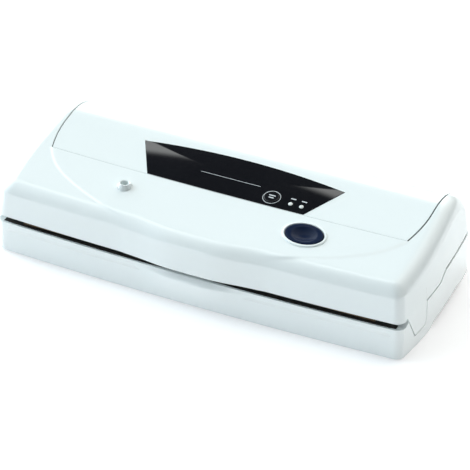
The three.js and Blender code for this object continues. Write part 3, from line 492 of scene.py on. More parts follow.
def lid_sides(skin, inset, kinds):
    """The lid's two side walls: a column hangs from each point of the skin's end contour down to the
    parting line, which drops into a tab."""
    first = kinds.index("turn") - 1
    last = kinds.index("rear") - 1
    top = skin[first : last + 1, -1]
    q = np.linspace(0, 1, WALL_ROWS + 1)[:, None]
    lean = FACE_LEAN * np.clip(1 - (top[:, 1] - top[0, 1]) / LEAN_FADE, 0, 1)
    low_y = top[:, 1] - lean
    low_y[-1] = top[-1, 1]
    for mark in TAB_MARKS:
        at = np.argmin(np.abs(low_y - mark))
        low_y[at] = mark
    low_y[at + 1] = TAB_REAR
    low_z = np.interp(low_y, TAB_EDGE[:, 0], TAB_EDGE[:, 1])
    y = low_y + (top[:, 1] - low_y) * q
    z = low_z + (top[:, 2] - low_z) * q
    x = half_width(y) - inset - SIDE_DRAFT * np.maximum(0, z - DRAFT_FROM)
    x[-1] = top[:, 0]
    x[:, 0] = skin[: first + 1, -1, 0]
    x[:, -1] = skin[last:, -1, 0][::-1]
    y[:, -1] = skin[last:, -1, 1][::-1]
    z[:, -1] = skin[last:, -1, 2][::-1]
    right = np.stack([x, y, z], -1)
    left = right * [-1, 1, 1]
    return right, left


def seam_gap(skin, sizes, rows, columns):
    """The cover's part of the skin, its border drawn back by the seam's width."""
    part = skin[rows[0] : rows[1] + 1, columns[0] : columns[1] + 1].copy()
    gap = sizes.seam / MM
    part[:, 0, 0] += gap
    part[:, -1, 0] -= gap
    part[0, :, 1] += sizes.front_gap / MM
    _, plain_y, plain_z = skin[rows[0], PLAIN_COLUMN]
    part[0, :, 2] = top_slope(part[0, :, 1]) - (top_slope(plain_y) - plain_z)
    part[-1, :, 2] += gap
    return part


def lid_shapes(sizes):
    """Lid casing and rear cover as two closed skins made from one grid."""
    outer, kinds = lid_skin(0, sizes)
    inner, _ = lid_skin(LID_WALL, sizes)
    rows, columns = outer.shape[:2]
    cell_row, cell_column = np.divmod(np.arange((rows - 1) * (columns - 1)), columns - 1)
    line = kinds.index("label") - 1
    bottom = kinds.index("rear") - 1 + COVER_END_ROW
    left = (columns - 1 - INNER_COLUMNS) // 2
    right = left + INNER_COLUMNS
    covered = (cell_row >= line) & (cell_row < bottom) & (cell_column >= left) & (cell_column < right)
    lowest = cell_row >= rows - 1 - NOTCH_ROWS
    cell_x = outer[-1, cell_column, 0]
    notched = lowest & (np.abs(np.abs(cell_x) - HINGE[0]) < NOTCH_HALF)
    faces = grid_faces(rows, columns)[~covered & ~notched]
    sides = [lid_sides(s, i, kinds) for s, i in ((outer, 0), (inner, LID_WALL))]
    side_faces = grid_faces(*sides[0][0].shape[:2])
    parts = [
        joined([(skin, faces), (side[0], side_faces), (side[1], side_faces[:, ::-1])])
        for skin, side in zip((outer, inner), sides)
    ]
    casing = walled(parts[0][0], parts[1][0], parts[0][1])
    box = ((line, bottom), (left, right))
    cover_outer = seam_gap(outer, sizes, *box)
    cover_inner = seam_gap(inner, sizes, *box)
    cover_faces = grid_faces(*cover_outer.shape[:2])
    cover = walled(cover_outer.reshape(-1, 3), cover_inner.reshape(-1, 3), cover_faces)
    return casing, cover, outer[line : bottom + 1], (left, right)


# The seam strips are painted shade: dark strips that make the two side seams look deep and shadowed.
SEAM_SHADE_FOOT = (2.8, 2.6, 3.8)  # half width, and depths of its upper and lower side


def seam_shade_strip(skin, column, side_sign, seam):
    """A dark strip of painted shade that fills one side seam to just under the casing's surface, so the
    seam looks like a deep shadowed gap: a narrow section with a wide foot, carried along the seam."""
    path = skin[:, column] - [side_sign * seam / 2, 0, 0]
    along = np.gradient(path, axis=0)
    along /= np.linalg.norm(along, axis=1, keepdims=True)
    side = np.broadcast_to([1.0, 0, 0], along.shape)
    down = np.cross(along, side)
    down *= -np.sign(down[len(down) // 4, 2])
    half = seam / 2 - 0.08
    foot, foot_top, foot_bottom = SEAM_SHADE_FOOT
    profile = [(-half, 0.5), (half, 0.5), (half, foot_top), (foot, foot_top)]
    profile += [(foot, foot_bottom), (-foot, foot_bottom), (-foot, foot_top), (-half, foot_top)]
    rings = [path + side * a + down * b for a, b in profile]
    points = np.stack(rings, 1)
    return ring_skin(list(points))


# ---------------------------------------------------------------- base

BASE_ROWS = np.array([1, 1.5, 3, 6, 9, 12, 14.5, 17, 19.5, 22, 23.6, 24.6, 25.2, 26, 27.2, 28.3, 28.8, 29])
RECESS_ROWS = 6
BASE_TOP = np.array(
    # y at the middle, y at the side wall, height
    [(0, 7, 29), (RIM_WIDTH, 7.5, 29), (6, 8, 29), (9.4, 9.8, 30.6), (11, 11, 31.8),
     (13, 13.2, 34), (17, 17, 34), (21.6, 21.6, 34), (30, 30, 34), (38, 38, 34), (41.8, 41.8, 34),
     (41.85, 41.85, 34), (48, 48, 34), (HOLE_REAR, HOLE_REAR, 34), (68, 68, 34), (71, 71, 34.9),
     (77, 77, 38.7), (80, 80, 39.6), (95, 95, 39.6), (110, 110, 39.6), (125, 125, 39.6),
     (140.6, 135, 39.6), (141, 135.2, 36.4), (147.4, 135.8, 36.4),
     (148, 136, 36)]
)


LIP_HEIGHTS = (SKIRT_Z, 14, 24.4, 25.4, RIM_Z)
LIP_SHARES = (0, 0.45, 1, 0.94, 0.22)
LIP_SPAN = (8, 56)  # the lip fades out between these distances from the middle
HANDHOLD_RISE = 3.6  # the skirt is cut this much higher at the handhold of each side
HANDHOLD_Y = (50, 57, 117, 124)  # where the cut starts, is full, is full still, and ends
RECESS_LINE = ((8.6, 21.6, 38, 41.8), (36.4, 11.6, 11.6, 16.2))  # depths and heights of its floor
WELL_Z = 22  # the wall round the deck's opening goes down to here
BASE_WALL = 2.0
FOOT_SOLE = ((0, 0.5), (3.6, 0.5), (4.2, 0), (5.9, 0), (6.5, 0.2), (6.9, 0.8))  # radius and height


def lip_weight(z):
    """Share of the lip's bulge at height z: it grows slowly up to its ridge and falls away above it."""
    return np.interp(z, LIP_HEIGHTS, LIP_SHARES)


def skirt(y):
    """Lower edge of the base: cut higher in the middle of each side."""
    start, full, full_end, end = HANDHOLD_Y
    return SKIRT_Z + HANDHOLD_RISE * smooth(start, full, y) * (1 - smooth(full_end, end, y))


def recess_floor(y, top):
    """Lower edge of the recess that holds the lid's side tab, or the top where there is none."""
    slant = np.interp(y, *RECESS_LINE)
    inside = (y > 11) & (y < 41.83)
    return np.where(inside, np.minimum(slant, top), top)


def base_columns():
    """Stations across the base: x up to the deck's opening, then shares of the strip beyond it."""
    inner = np.linspace(-HOLE_HALF, HOLE_HALF, 173)
    strip = np.sin(np.linspace(0, math.pi / 2, 11))[1:]
    return inner, strip


def base_shape():
    """The base as one open skin: front wall with its lip, rim and top, rear wall, side walls with the
    tab recesses, and a wall down into the opening for the deck."""
    inner, strip = base_columns()
    share = np.concatenate([-strip[::-1], np.zeros(len(inner)), strip])
    middle = np.concatenate([np.full(len(strip), -HOLE_HALF), inner, np.full(len(strip), HOLE_HALF)])
    y_mid, y_side, z_top = BASE_TOP.T
    floor = recess_floor(y_side, z_top)
    wall_x = half_width(y_side)
    reach = np.where(floor < z_top - 1e-6, RECESS_X, wall_x)
    x = middle + share * (reach[:, None] - HOLE_HALF)
    s = reach[:, None] - np.abs(x)
    front_pull = corner_inset(s, FRONT_CORNER) / FRONT_CORNER
    rear_pull = corner_inset(s, REAR_CORNER) / REAR_CORNER
    pull = np.where(y_mid[:, None] < 60, front_pull, rear_pull)
    bow = front_face(x) * (1 - smooth(2, 12, y_mid[:, None]))
    y = y_mid[:, None] + bow + (y_side - y_mid)[:, None] * pull
    z = np.broadcast_to(z_top[:, None], x.shape).copy()
    rise = RIM_RISE * (1 - smooth(0, 56, np.abs(x)))
    z += rise * (y_mid[:, None] < 5)
    top = np.stack([x, y, z], -1)

    levels = (BASE_ROWS - SKIRT_Z) / (RIM_Z - SKIRT_Z)
    lip = LIP * (1 - smooth(*LIP_SPAN, np.abs(x[0])))
    front_z = BASE_ROWS[:, None] + rise[0] * smooth(25, 29, BASE_ROWS)[:, None]
    front_y = y[0] - lip * lip_weight(BASE_ROWS)[:, None]
    front = np.stack([np.broadcast_to(x[0], front_y.shape), front_y, front_z], -1)
    rear_z = SKIRT_Z + (z_top[-1] - SKIRT_Z) * levels[:, None]
    rear = np.stack([np.broadcast_to(v, (len(levels), len(x[-1]))) for v in (x[-1], y[-1], rear_z)], -1)

    low = skirt(y_side)
    low[0] = SKIRT_Z
    low[-1] = SKIRT_Z
    wall_z = low + (floor - low) * levels[:, None]
    wall = [np.broadcast_to(v, wall_z.shape) for v in (wall_x, y_side)] + [wall_z]
    wall = np.stack(wall, -1)
    up = np.linspace(0, 1, RECESS_ROWS + 1)[:, None]
    pocket_z = floor + (z_top - floor) * up
    pocket = [np.broadcast_to(v, pocket_z.shape) for v in (reach, y_side)] + [pocket_z]
    pocket = np.stack(pocket, -1)
    side = np.concatenate([wall, pocket])

    rows = len(y_mid)
    columns = x.shape[1]
    cell_row, cell_column = np.divmod(np.arange((rows - 1) * (columns - 1)), columns - 1)
    hole_end = int(np.argmin(np.abs(y_mid - HOLE_REAR)))
    first, last = len(strip), len(strip) + len(inner) - 1
    hole = (cell_row >= 1) & (cell_row < hole_end) & (cell_column >= first) & (cell_column < last)
    loop = np.concatenate([
        top[1, first : last + 1],
        top[2:hole_end, last],
        top[hole_end, first : last + 1][::-1],
        top[2:hole_end, first][::-1],
    ])
    lower = loop.copy()
    lower[:, 2] = WELL_Z
    well = np.stack([loop, lower])
    parts = [
        (top, grid_faces(rows, columns)[~hole]),
        (front, grid_faces(*front.shape[:2])),
        (rear, grid_faces(*rear.shape[:2])[:, ::-1]),
        (side, grid_faces(*side.shape[:2])),
        (side * [-1, 1, 1], grid_faces(*side.shape[:2])[:, ::-1]),
        (well, grid_faces(2, len(loop), close=True)[:, ::-1]),
    ]
    return joined(parts)


TAB_PAD = ((12.6, 30.5), (21.9, 12.0), (37.9, 12.0), (41.5, 16.4), (41.5, 33.6), (13.4, 33.6))
TAB_PAD_LAYERS = ((178.5, 1), (180.1, 1), (180.5, 0.975))  # x, and scale of the outline there


def tab_pad(side):
    """A dark pad that lines the back of one tab recess: the recess's outline from the side, given a
    thickness along x."""
    outline = rounded_profile(TAB_PAD, 0.4, 2)
    middle = outline.mean(0)
    rings = []
    for x, scale in TAB_PAD_LAYERS:
        plan = middle + (outline - middle) * scale
        rings.append(np.column_stack([np.full(len(plan), side * x), plan]))
    return ring_skin(rings)


def side_seal(side):
    """A dark foam strip along one side of the base's top, just inside the wall: a low rounded section
    carried along the side and up its step."""
    y = np.concatenate([np.linspace(43, 67, 9), np.linspace(68.5, 79.5, 8), np.linspace(81, 134, 18)])
    z = np.interp(y, [68, 71, 77, 80], [34, 34.9, 38.7, 39.6])
    x = half_width(y) - 3.2
    rings = []
    for across, up in ((-2.2, -0.3), (-2.2, 0.7), (-1.6, 1.05), (1.6, 1.05), (2.2, 0.7), (2.2, -0.3)):
        rings.append(np.stack([side * (x + across), y, z + up], 1))
    return ring_skin(list(np.stack(rings, 1)))


# ---------------------------------------------------------------- sizes and colours a user may change


def number(name, description, default, **kind):
    """A number, with its unit or limits as kind."""
    return bpy.props.FloatProperty(name=name, description=description, default=default, **kind)


def length(name, description, default):
    """A length in metres."""
    return number(name, description, default, subtype="DISTANCE", unit="LENGTH")


def angle_of(name, description, degrees):
    """An angle, given in degrees."""
    return number(name, description, math.radians(degrees), subtype="ANGLE", unit="ROTATION")


def colour(name, description, default):
    """A linear colour."""
    return bpy.props.FloatVectorProperty(
        name=name, description=description, default=default, size=3, min=0, max=1, subtype="COLOR"
    )


class CasingSizes(bpy.types.PropertyGroup):
    """Sizes of the casing's details."""

    raised: length("Raised panel", "Height of the raised front panel", 0.00065)
    raised_edge: length("Raised panel edge", "Width of the soft step round the raised panel", 0.0034)
    seam: length("Side seam", "Width of the two seams beside the cover", 0.0014)
    front_gap: length("Front gap", "Gap along the cover's front edge", 0.00035)


class PanelSizes(bpy.types.PropertyGroup):
    """Sizes of the control panel, button and port."""

    label_lift: length("Panel height", "How far the control panel stands over the cover", 0.0003)
    ring_radius: length("Key ring", "Radius of the light ring printed round the seal key", 0.0073)
    print_width: length("Print width", "Width of the printed lines", 0.0005)
    dimple: length("Button dimple", "Depth of the dish in the release button", 0.0028)


class FinishColours(bpy.types.PropertyGroup):
    """Colours of the finishes."""

    casing: colour("Casing", "Gloss white moulding", (0.9, 0.955, 0.952))
    inner: colour("Inner parts", "Satin white moulding", (0.66, 0.69, 0.69))
    panel: colour("Panel", "Gloss black panel", (0.006, 0.0065, 0.009))
    button: colour("Button", "Dark blue button", (0.008, 0.016, 0.044))
    marks: colour("Printed marks", "Pale print on the panel", (0.62, 0.66, 0.68))
    # Also the colour of the painted shade in the two side seams.
    seal: colour("Seals", "Dark foam rubber", (0.03, 0.04, 0.037))


class StudioSettings(bpy.types.PropertyGroup):
    """Camera and light of the studio."""

    azimuth: angle_of("Azimuth", "Camera direction round the machine", 25.88)
    elevation: angle_of("Elevation", "Camera height angle", 34.0)
    distance: length("Distance", "Camera distance from its target", 2.1145)
    lens: number("Lens", "Focal length on a 36 mm sensor", 205.3, subtype="DISTANCE_CAMERA", unit="CAMERA")
    fill: number("Fill", "Brightness of the surroundings between the panels", 0.0, min=0)
    surroundings: number("Surroundings", "Brightness of the surroundings as a whole", 1.0, min=0)
    front: number("Front softbox", "Power of the front softbox", 2.4, min=0, subtype="POWER", unit="POWER")
    glow: number("Floor glow", "Light that the floor gives off", 0.27, min=0)


# ---------------------------------------------------------------- finishes


def put(tree, socket, value):
    """Joins a socket to another one, or sets its own value."""
    if isinstance(value, bpy.types.NodeSocket):
        tree.links.new(value, socket)
    elif hasattr(socket.default_value, "__len__") and len(value) == 3 and len(socket.default_value) == 4:
        socket.default_value = (*value, 1)
    else:
        socket.default_value = value


def node(tree, kind, inputs=(), **settings):
    """Adds a node with its settings and inputs."""
    made = tree.nodes.new(kind)
    for key, value in settings.items():
        setattr(made, key, value)
    for key, value in dict(inputs).items():
        put(tree, made.inputs[key], value)
    return made


def maths(tree, operation, a, b=0.0):
    """The value of a two-number sum."""
    made = node(tree, "ShaderNodeMath", operation=operation)
    put(tree, made.inputs[0], a)
    put(tree, made.inputs[1], b)
    return made.outputs[0]


def noise(tree, place, scale, detail):
    """A noise texture over a place."""
    return node(tree, "ShaderNodeTexNoise", {"Vector": place, "Scale": scale, "Detail": detail})


def group(name, inputs, outputs):
    """An empty shader node group with named sockets: (name, type, default) for each input."""
    tree = bpy.data.node_groups.new(name, "ShaderNodeTree")
    for label, kind, default in inputs:
        socket = tree.interface.new_socket(label, in_out="INPUT", socket_type=kind)
        if default is not None:
            socket.default_value = default
    for label, kind in outputs:
        tree.interface.new_socket(label, in_out="OUTPUT", socket_type=kind)
    return tree, tree.nodes.new("NodeGroupInput"), tree.nodes.new("NodeGroupOutput")


def moulding_group():
    """Moulded plastic: a slow drift between two shades, a roughness that drifts with it, and a fine
    grain with a gentle orange-peel wave as a height."""
    tree, given, out = group(
        "moulded_surface",
        [("Shade A", "NodeSocketColor", None), ("Shade B", "NodeSocketColor", None),
         ("Drift Scale", "NodeSocketFloat", 18.0), ("Grain Scale", "NodeSocketFloat", 1500.0),
         ("Wave", "NodeSocketFloat", 0.4), ("Roughness Low", "NodeSocketFloat", 0.2),
         ("Roughness High", "NodeSocketFloat", 0.3)],
        [("Colour", "NodeSocketColor"), ("Roughness", "NodeSocketFloat"), ("Height", "NodeSocketFloat")],
    )
    place = node(tree, "ShaderNodeTexCoord").outputs["Object"]
    drift = noise(tree, place, given.outputs["Drift Scale"], 3)
    grain = noise(tree, place, given.outputs["Grain Scale"], 2)
    wave = noise(tree, place, 220.0, 1)
    mix = node(tree, "ShaderNodeMix", data_type="RGBA")
    put(tree, mix.inputs[0], drift.outputs[0])
    put(tree, mix.inputs[6], given.outputs["Shade A"])
    put(tree, mix.inputs[7], given.outputs["Shade B"])
    rough = node(tree, "ShaderNodeMapRange", {
        "Value": drift.outputs[0],
        "From Min": 0.3,
        "From Max": 0.7,
        "To Min": given.outputs["Roughness Low"],
        "To Max": given.outputs["Roughness High"],
    })
    waves = maths(tree, "MULTIPLY", wave.outputs[0], given.outputs["Wave"])
    height = maths(tree, "ADD", grain.outputs[0], waves)
    put(tree, out.inputs["Colour"], mix.outputs[2])
    put(tree, out.inputs["Roughness"], rough.outputs[0])
    put(tree, out.inputs["Height"], height)
    return tree


def dust_group():
    """Fine dust that gathers on faces that look up: a mask from the face's direction times a noise."""
    tree, given, out = group(
        "settled_dust",
        [("Amount", "NodeSocketFloat", 0.1), ("Scale", "NodeSocketFloat", 260.0)],
        [("Mask", "NodeSocketFloat")],
    )
    place = node(tree, "ShaderNodeTexCoord").outputs["Object"]
    normal = node(tree, "ShaderNodeNewGeometry").outputs["Normal"]
    height = node(tree, "ShaderNodeSeparateXYZ", {"Vector": normal}).outputs["Z"]
    upward = node(tree, "ShaderNodeMapRange", {"Value": height, "From Min": 0.2, "From Max": 1.0})
    specks = noise(tree, place, given.outputs["Scale"], 5)
    mask = maths(tree, "MULTIPLY", upward.outputs[0], specks.outputs[0])
    put(tree, out.inputs["Mask"], maths(tree, "MULTIPLY", mask, given.outputs["Amount"]))
    return tree


def use(tree, shared, inputs):
    """Places a shared group in a material with its own values."""
    made = tree.nodes.new("ShaderNodeGroup")
    made.node_tree = shared
    for key, value in inputs.items():
        put(tree, made.inputs[key], value)
    return made


def tinted(rgb, factor):
    """A colour made lighter or darker."""
    return tuple(min(1.0, c * factor) for c in rgb)


def moulded(name, rgb, rough, wave=0.4, bump=0.04, drift=0.03, dust=0.05, coat=0.0, **fixed):
    """A moulded plastic or rubber finish."""
    made = bpy.data.materials.new(name)
    made.use_nodes = True
    tree = made.node_tree
    shader = tree.nodes["Principled BSDF"]
    surface = use(tree, bpy.data.node_groups["moulded_surface"], {
        "Shade A": tinted(rgb, 1 - drift), "Shade B": tinted(rgb, 1 + drift), "Wave": wave,
        "Roughness Low": rough[0], "Roughness High": rough[1]})
    mask = use(tree, bpy.data.node_groups["settled_dust"], {"Amount": dust}).outputs["Mask"]
    mix = node(tree, "ShaderNodeMix", data_type="RGBA")
    put(tree, mix.inputs[0], mask)
    put(tree, mix.inputs[6], surface.outputs["Colour"])
    put(tree, mix.inputs[7], (0.6, 0.58, 0.55))
    rougher = maths(tree, "ADD", surface.outputs["Roughness"], maths(tree, "MULTIPLY", mask, 0.6))
    height = surface.outputs["Height"]
    relief = node(tree, "ShaderNodeBump", {"Strength": bump, "Distance": 0.0002, "Height": height})
    put(tree, shader.inputs["Base Color"], mix.outputs[2])
    put(tree, shader.inputs["Roughness"], rougher)
    put(tree, shader.inputs["Normal"], relief.outputs[0])
    shader.inputs["Coat Weight"].default_value = coat
    shader.inputs["Coat Roughness"].default_value = 0.05
    for key, value in fixed.items():
        shader.inputs[key.replace("_", " ")].default_value = value
    return made


def brushed(name, rgb, rough, stretch=(4, 4, 900), bump=0.05):
    """Drawn or brushed metal: a noise stretched along one direction."""
    made = bpy.data.materials.new(name)
    made.use_nodes = True
    tree = made.node_tree
    shader = tree.nodes["Principled BSDF"]
    place = node(tree, "ShaderNodeTexCoord").outputs["Object"]
    along = node(tree, "ShaderNodeMapping", {"Vector": place, "Scale": stretch})
    lines = node(tree, "ShaderNodeTexNoise", {"Vector": along.outputs[0], "Scale": 3.0, "Detail": 4})
    mix = node(tree, "ShaderNodeMix", data_type="RGBA")
    put(tree, mix.inputs[0], lines.outputs[0])
    put(tree, mix.inputs[6], tinted(rgb, 0.8))
    put(tree, mix.inputs[7], tinted(rgb, 1.1))
    height = lines.outputs[0]
    spread = node(tree, "ShaderNodeMapRange", {"Value": height, "To Min": rough[0], "To Max": rough[1]})
    relief = node(tree, "ShaderNodeBump", {"Strength": bump, "Distance": 0.0001, "Height": height})
    put(tree, shader.inputs["Base Color"], mix.outputs[2])
    put(tree, shader.inputs["Roughness"], spread.outputs[0])
    put(tree, shader.inputs["Normal"], relief.outputs[0])
    shader.inputs["Metallic"].default_value = 1.0
    return made


def banded(name, rgb, dark, scale, across, metal, rough, bump=0.3):
    """Parallel or crossed ridges: wound wire, or the threads of a coated cloth."""
    made = bpy.data.materials.new(name)
    made.use_nodes = True
    tree = made.node_tree
    shader = tree.nodes["Principled BSDF"]
    place = node(tree, "ShaderNodeTexCoord").outputs["Object"]
    height = None
    for direction in across:
        ridge = node(tree, "ShaderNodeTexWave", {"Vector": place, "Scale": scale, "Distortion": 0.4},
                     bands_direction=direction)
        height = ridge.outputs[1] if height is None else maths(tree, "MULTIPLY", height, ridge.outputs[1])
    mix = node(tree, "ShaderNodeMix", data_type="RGBA")
    put(tree, mix.inputs[0], height)
    put(tree, mix.inputs[6], dark)
    put(tree, mix.inputs[7], rgb)
    spread = node(tree, "ShaderNodeMapRange", {"Value": height, "To Min": rough[1], "To Max": rough[0]})
    relief = node(tree, "ShaderNodeBump", {"Strength": bump, "Distance": 0.0003, "Height": height})
    put(tree, shader.inputs["Base Color"], mix.outputs[2])
    put(tree, shader.inputs["Roughness"], spread.outputs[0])
    put(tree, shader.inputs["Normal"], relief.outputs[0])
    shader.inputs["Metallic"].default_value = metal
    return made


def floor_finish(glow):
    """Pale light table with a faint mottling."""
    made = bpy.data.materials.new("pale_paper_floor")
    made.use_nodes = True
    tree = made.node_tree
    shader = tree.nodes["Principled BSDF"]
    place = node(tree, "ShaderNodeTexCoord").outputs["Object"]
    mottle = node(tree, "ShaderNodeTexNoise", {"Vector": place, "Scale": 6.0, "Detail": 2})
    mix = node(tree, "ShaderNodeMix", data_type="RGBA")
    put(tree, mix.inputs[0], mottle.outputs[0])
    put(tree, mix.inputs[6], (0.95, 0.94, 0.94))
    put(tree, mix.inputs[7], (0.97, 0.96, 0.96))
    put(tree, shader.inputs["Base Color"], mix.outputs[2])
    shader.inputs["Roughness"].default_value = 0.9
    shader.inputs["Specular IOR Level"].default_value = 0.0
    shader.inputs["Emission Color"].default_value = (1.0, 0.98, 0.99, 1)
    shader.inputs["Emission Strength"].default_value = glow
    return made


def make_finishes(c):
    """Every finish of the machine, by its slot name; c holds the colours a user may change."""
    moulding_group()
    dust_group()
    return {
        "casing_white": moulded(
            "gloss_white_moulding", c.casing, (0.14, 0.2),
            wave=0.5, bump=0.03, drift=0.01, dust=0.03, coat=0.35,
        ),
        "inner_white": moulded("satin_white_moulding", c.inner, (0.38, 0.5), wave=0.6, bump=0.12),
        "gloss_black": moulded(
            "gloss_black_panel", c.panel, (0.08, 0.12),
            wave=0.2, bump=0.01, drift=0.1, dust=0.01, Specular_IOR_Level=0.3,
        ),
        "navy": moulded(
            "dark_blue_button", c.button, (0.2, 0.28),
            wave=0.3, drift=0.06, dust=0.01, Specular_IOR_Level=0.05,
        ),
        "lens": moulded("frosted_lens", (0.75, 0.78, 0.76), (0.25, 0.35), wave=0.2, bump=0.03),
        "rubber_dark": moulded("dark_foam_rubber_and_seam_shade", c.seal, (0.7, 0.85), wave=1.2, bump=0.3, drift=0.12),
        # Dark foam rubber for the gaskets, feet and pads; the same finish is the painted shade in the side
        # seams.
        "silicone": moulded(
            "grey_silicone", (0.09, 0.095, 0.1), (0.45, 0.6), wave=0.8, bump=0.1, drift=0.06
        ),
        "phenolic": moulded(
            "brown_black_carrier", (0.017, 0.014, 0.012), (0.5, 0.65), wave=1.0, bump=0.2, drift=0.15
        ),
        "tape": banded(
            "coated_glass_cloth", (0.27, 0.16, 0.08), (0.17, 0.1, 0.05), 180, "XY", 0, (0.35, 0.5), 0.2
        ),
        "steel": brushed("satin_steel", (0.5, 0.51, 0.53), (0.22, 0.38)),
        "copper": banded(
            "wound_copper_wire", (0.62, 0.27, 0.11), (0.22, 0.08, 0.03), 260, "Z", 1, (0.3, 0.5), 0.5
        ),
        "circuit_board": banded(
            "green_circuit_board", (0.02, 0.12, 0.05), (0.012, 0.07, 0.03), 60, "XY", 0, (0.3, 0.45), 0.1
        ),
        "dark_plastic": moulded(
            "dark_nylon", (0.014, 0.015, 0.016), (0.4, 0.55), wave=0.8, bump=0.15, drift=0.1
        ),
        "clear_tube": moulded("milky_silicone_tube", (0.62, 0.62, 0.58), (0.3, 0.42), bump=0.05),
        "marks": moulded("pale_print", c.marks, (0.4, 0.5), wave=0.2, bump=0.02, dust=0.01),
    }


FINISH = {}


# ---------------------------------------------------------------- operators


class SEALER_OT_finishes(bpy.types.Operator):
    """Makes the finishes and gives each carried-over part of the frame its own"""

    bl_idname = "sealer.finishes"
    bl_label = "Finishes"

    def execute(self, context):
        FINISH.update(make_finishes(context.scene.sealer_colours))
        slots = {row["node"]: row["material_slot"] for row in frame["record"]["subparts"]}
        for name, made in frame["nodes"].items():
            made.data.materials.clear()
            made.data.materials.append(FINISH[slots[name]])
        return {"FINISHED"}


class SEALER_OT_lid(bpy.types.Operator):
    """Builds the lid casing, the rear cover, dark strips of painted shade in its side seams and the hinge
    knuckles
    """

    bl_idname = "sealer.lid"
    bl_label = "Lid and cover"

    def execute(self, context):
        sizes = context.scene.sealer_casing
        casing, cover, skin, seams = lid_shapes(sizes)
        white = FINISH["casing_white"]
        piece("lid_casing", "lid", casing, white, ["lid_shell"])
        piece("rear_cover_panel", "lid", cover, white, ["rear_cover"])
        # Dark strips of painted shade that make the two side seams look deep.
        for side, column, sign in zip(("left", "right"), seams, (-1, 1)):
            strip = seam_shade_strip(skin, column, sign, sizes.seam / MM)
            piece(f"cover_seam_shade_{side}", "lid", strip, FINISH["rubber_dark"])
        x, y, z, radius = HINGE
        for side, at in (("left", -x), ("right", x)):
            shape = knuckle(at, y, z, radius)
            piece(f"lid_knuckle_{side}", "lid", shape, white, ["lid_shell"])
        return {"FINISHED"}


KNUCKLE_HALF = 5.5  # half of a knuckle's length
PIN_BORE = 1.5  # radius of the bore for the hinge pin
WEB_TOP = 7.5  # the web ends this far above the bore


def knuckle(at, y, z, radius):
    """A hinge knuckle: a bored barrel along x whose upper half runs on into a web up to the wall."""
    around = np.linspace(0, 2 * math.pi, 32, endpoint=False)
    barrel = np.stack([y + radius * np.cos(around), z + radius * np.sin(around)], 1)
    rise = np.sin(around) > 0.2
    barrel[rise, 1] = z + WEB_TOP
    barrel[rise, 0] = np.clip(barrel[rise, 0], y - 1.6, y + 3.0)
    bore = np.stack([y + PIN_BORE * np.cos(around), z + PIN_BORE * np.sin(around)], 1)
    left, right = at - KNUCKLE_HALF, at + KNUCKLE_HALF
    rings = []
    for x_at, edge in ((left, bore), (left, barrel), (right, barrel), (right, bore), (left, bore)):
        rings.append(np.column_stack([np.full(len(edge), x_at), edge]))
    points = np.stack(rings)
    return points.reshape(-1, 3), grid_faces(len(rings), len(around), close=True)


class SEALER_OT_base(bpy.types.Operator):
    """Builds the base casing with its lip, skirt and tab recesses, and the four feet"""

    bl_idname = "sealer.base"
    bl_label = "Base"

    def execute(self, context):
        white = FINISH["casing_white"]
        dark = FINISH["rubber_dark"]
        base = piece("base_casing", "base", base_shape(), white, ["base_housing"])
        wall = base.modifiers.new("wall", "SOLIDIFY")
        wall.thickness = BASE_WALL * MM
        wall.offset = -1
        for side, name in ((-1, "left"), (1, "right")):
            piece(f"tab_pad_{name}", "base", tab_pad(side), dark)
            piece(f"side_seal_{name}", "base", side_seal(side), dark)
        for name in ("foot_front_left", "foot_front_right", "foot_rear_left", "foot_rear_right"):
            low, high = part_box(name)
            at = ((low.x + high.x) / 2 / MM, (low.y + high.y) / 2 / MM - FRONT_PLANE)
            top = high.z / MM
            profile = [*FOOT_SOLE, (6.5, top), (0, top)]
            piece(f"rubber_{name}", "base", turned(profile, at), dark, [name])
        return {"FINISHED"}


def label_outline():
    """The control panel's trapezoid from above: its front and rear edges are shallow parabolas."""
    front_half, rear_half, front_y, rear_y = LABEL
    t = np.linspace(-1, 1, 41)
    bow = 1 - t * t
    front = np.column_stack([t * front_half, front_y - LABEL_BOW[0] * bow])
    rear = np.column_stack([-t * rear_half, rear_y + LABEL_BOW[1] * bow])
    return np.concatenate([front, rear])


def printed_bar(x0, x1, y, width, lift):
    """A thin printed bar lying on the panel."""
    half = width / 2
    outline = rounded_profile([(x0, y - half), (x1, y - half), (x1, y + half), (x0, y + half)], half, 3)
    points, faces = slab(outline, 0.0, PRINT_RISE, 0.01, 1)
    return on_slope(points, lift), faces


def printed_ring(at, radius, width, lift):
    """A thin printed ring lying on the panel."""
    angle = np.linspace(0, 2 * math.pi, 72, endpoint=False)
    circle = np.stack([at[0] + radius * np.cos(angle), at[1] + radius * np.sin(angle)], 1)
    half = width / 2
    points, faces = swept(circle, [(-half, 0), (half, 0), (half, PRINT_RISE), (-half, PRINT_RISE)])
    return on_slope(points, lift), faces


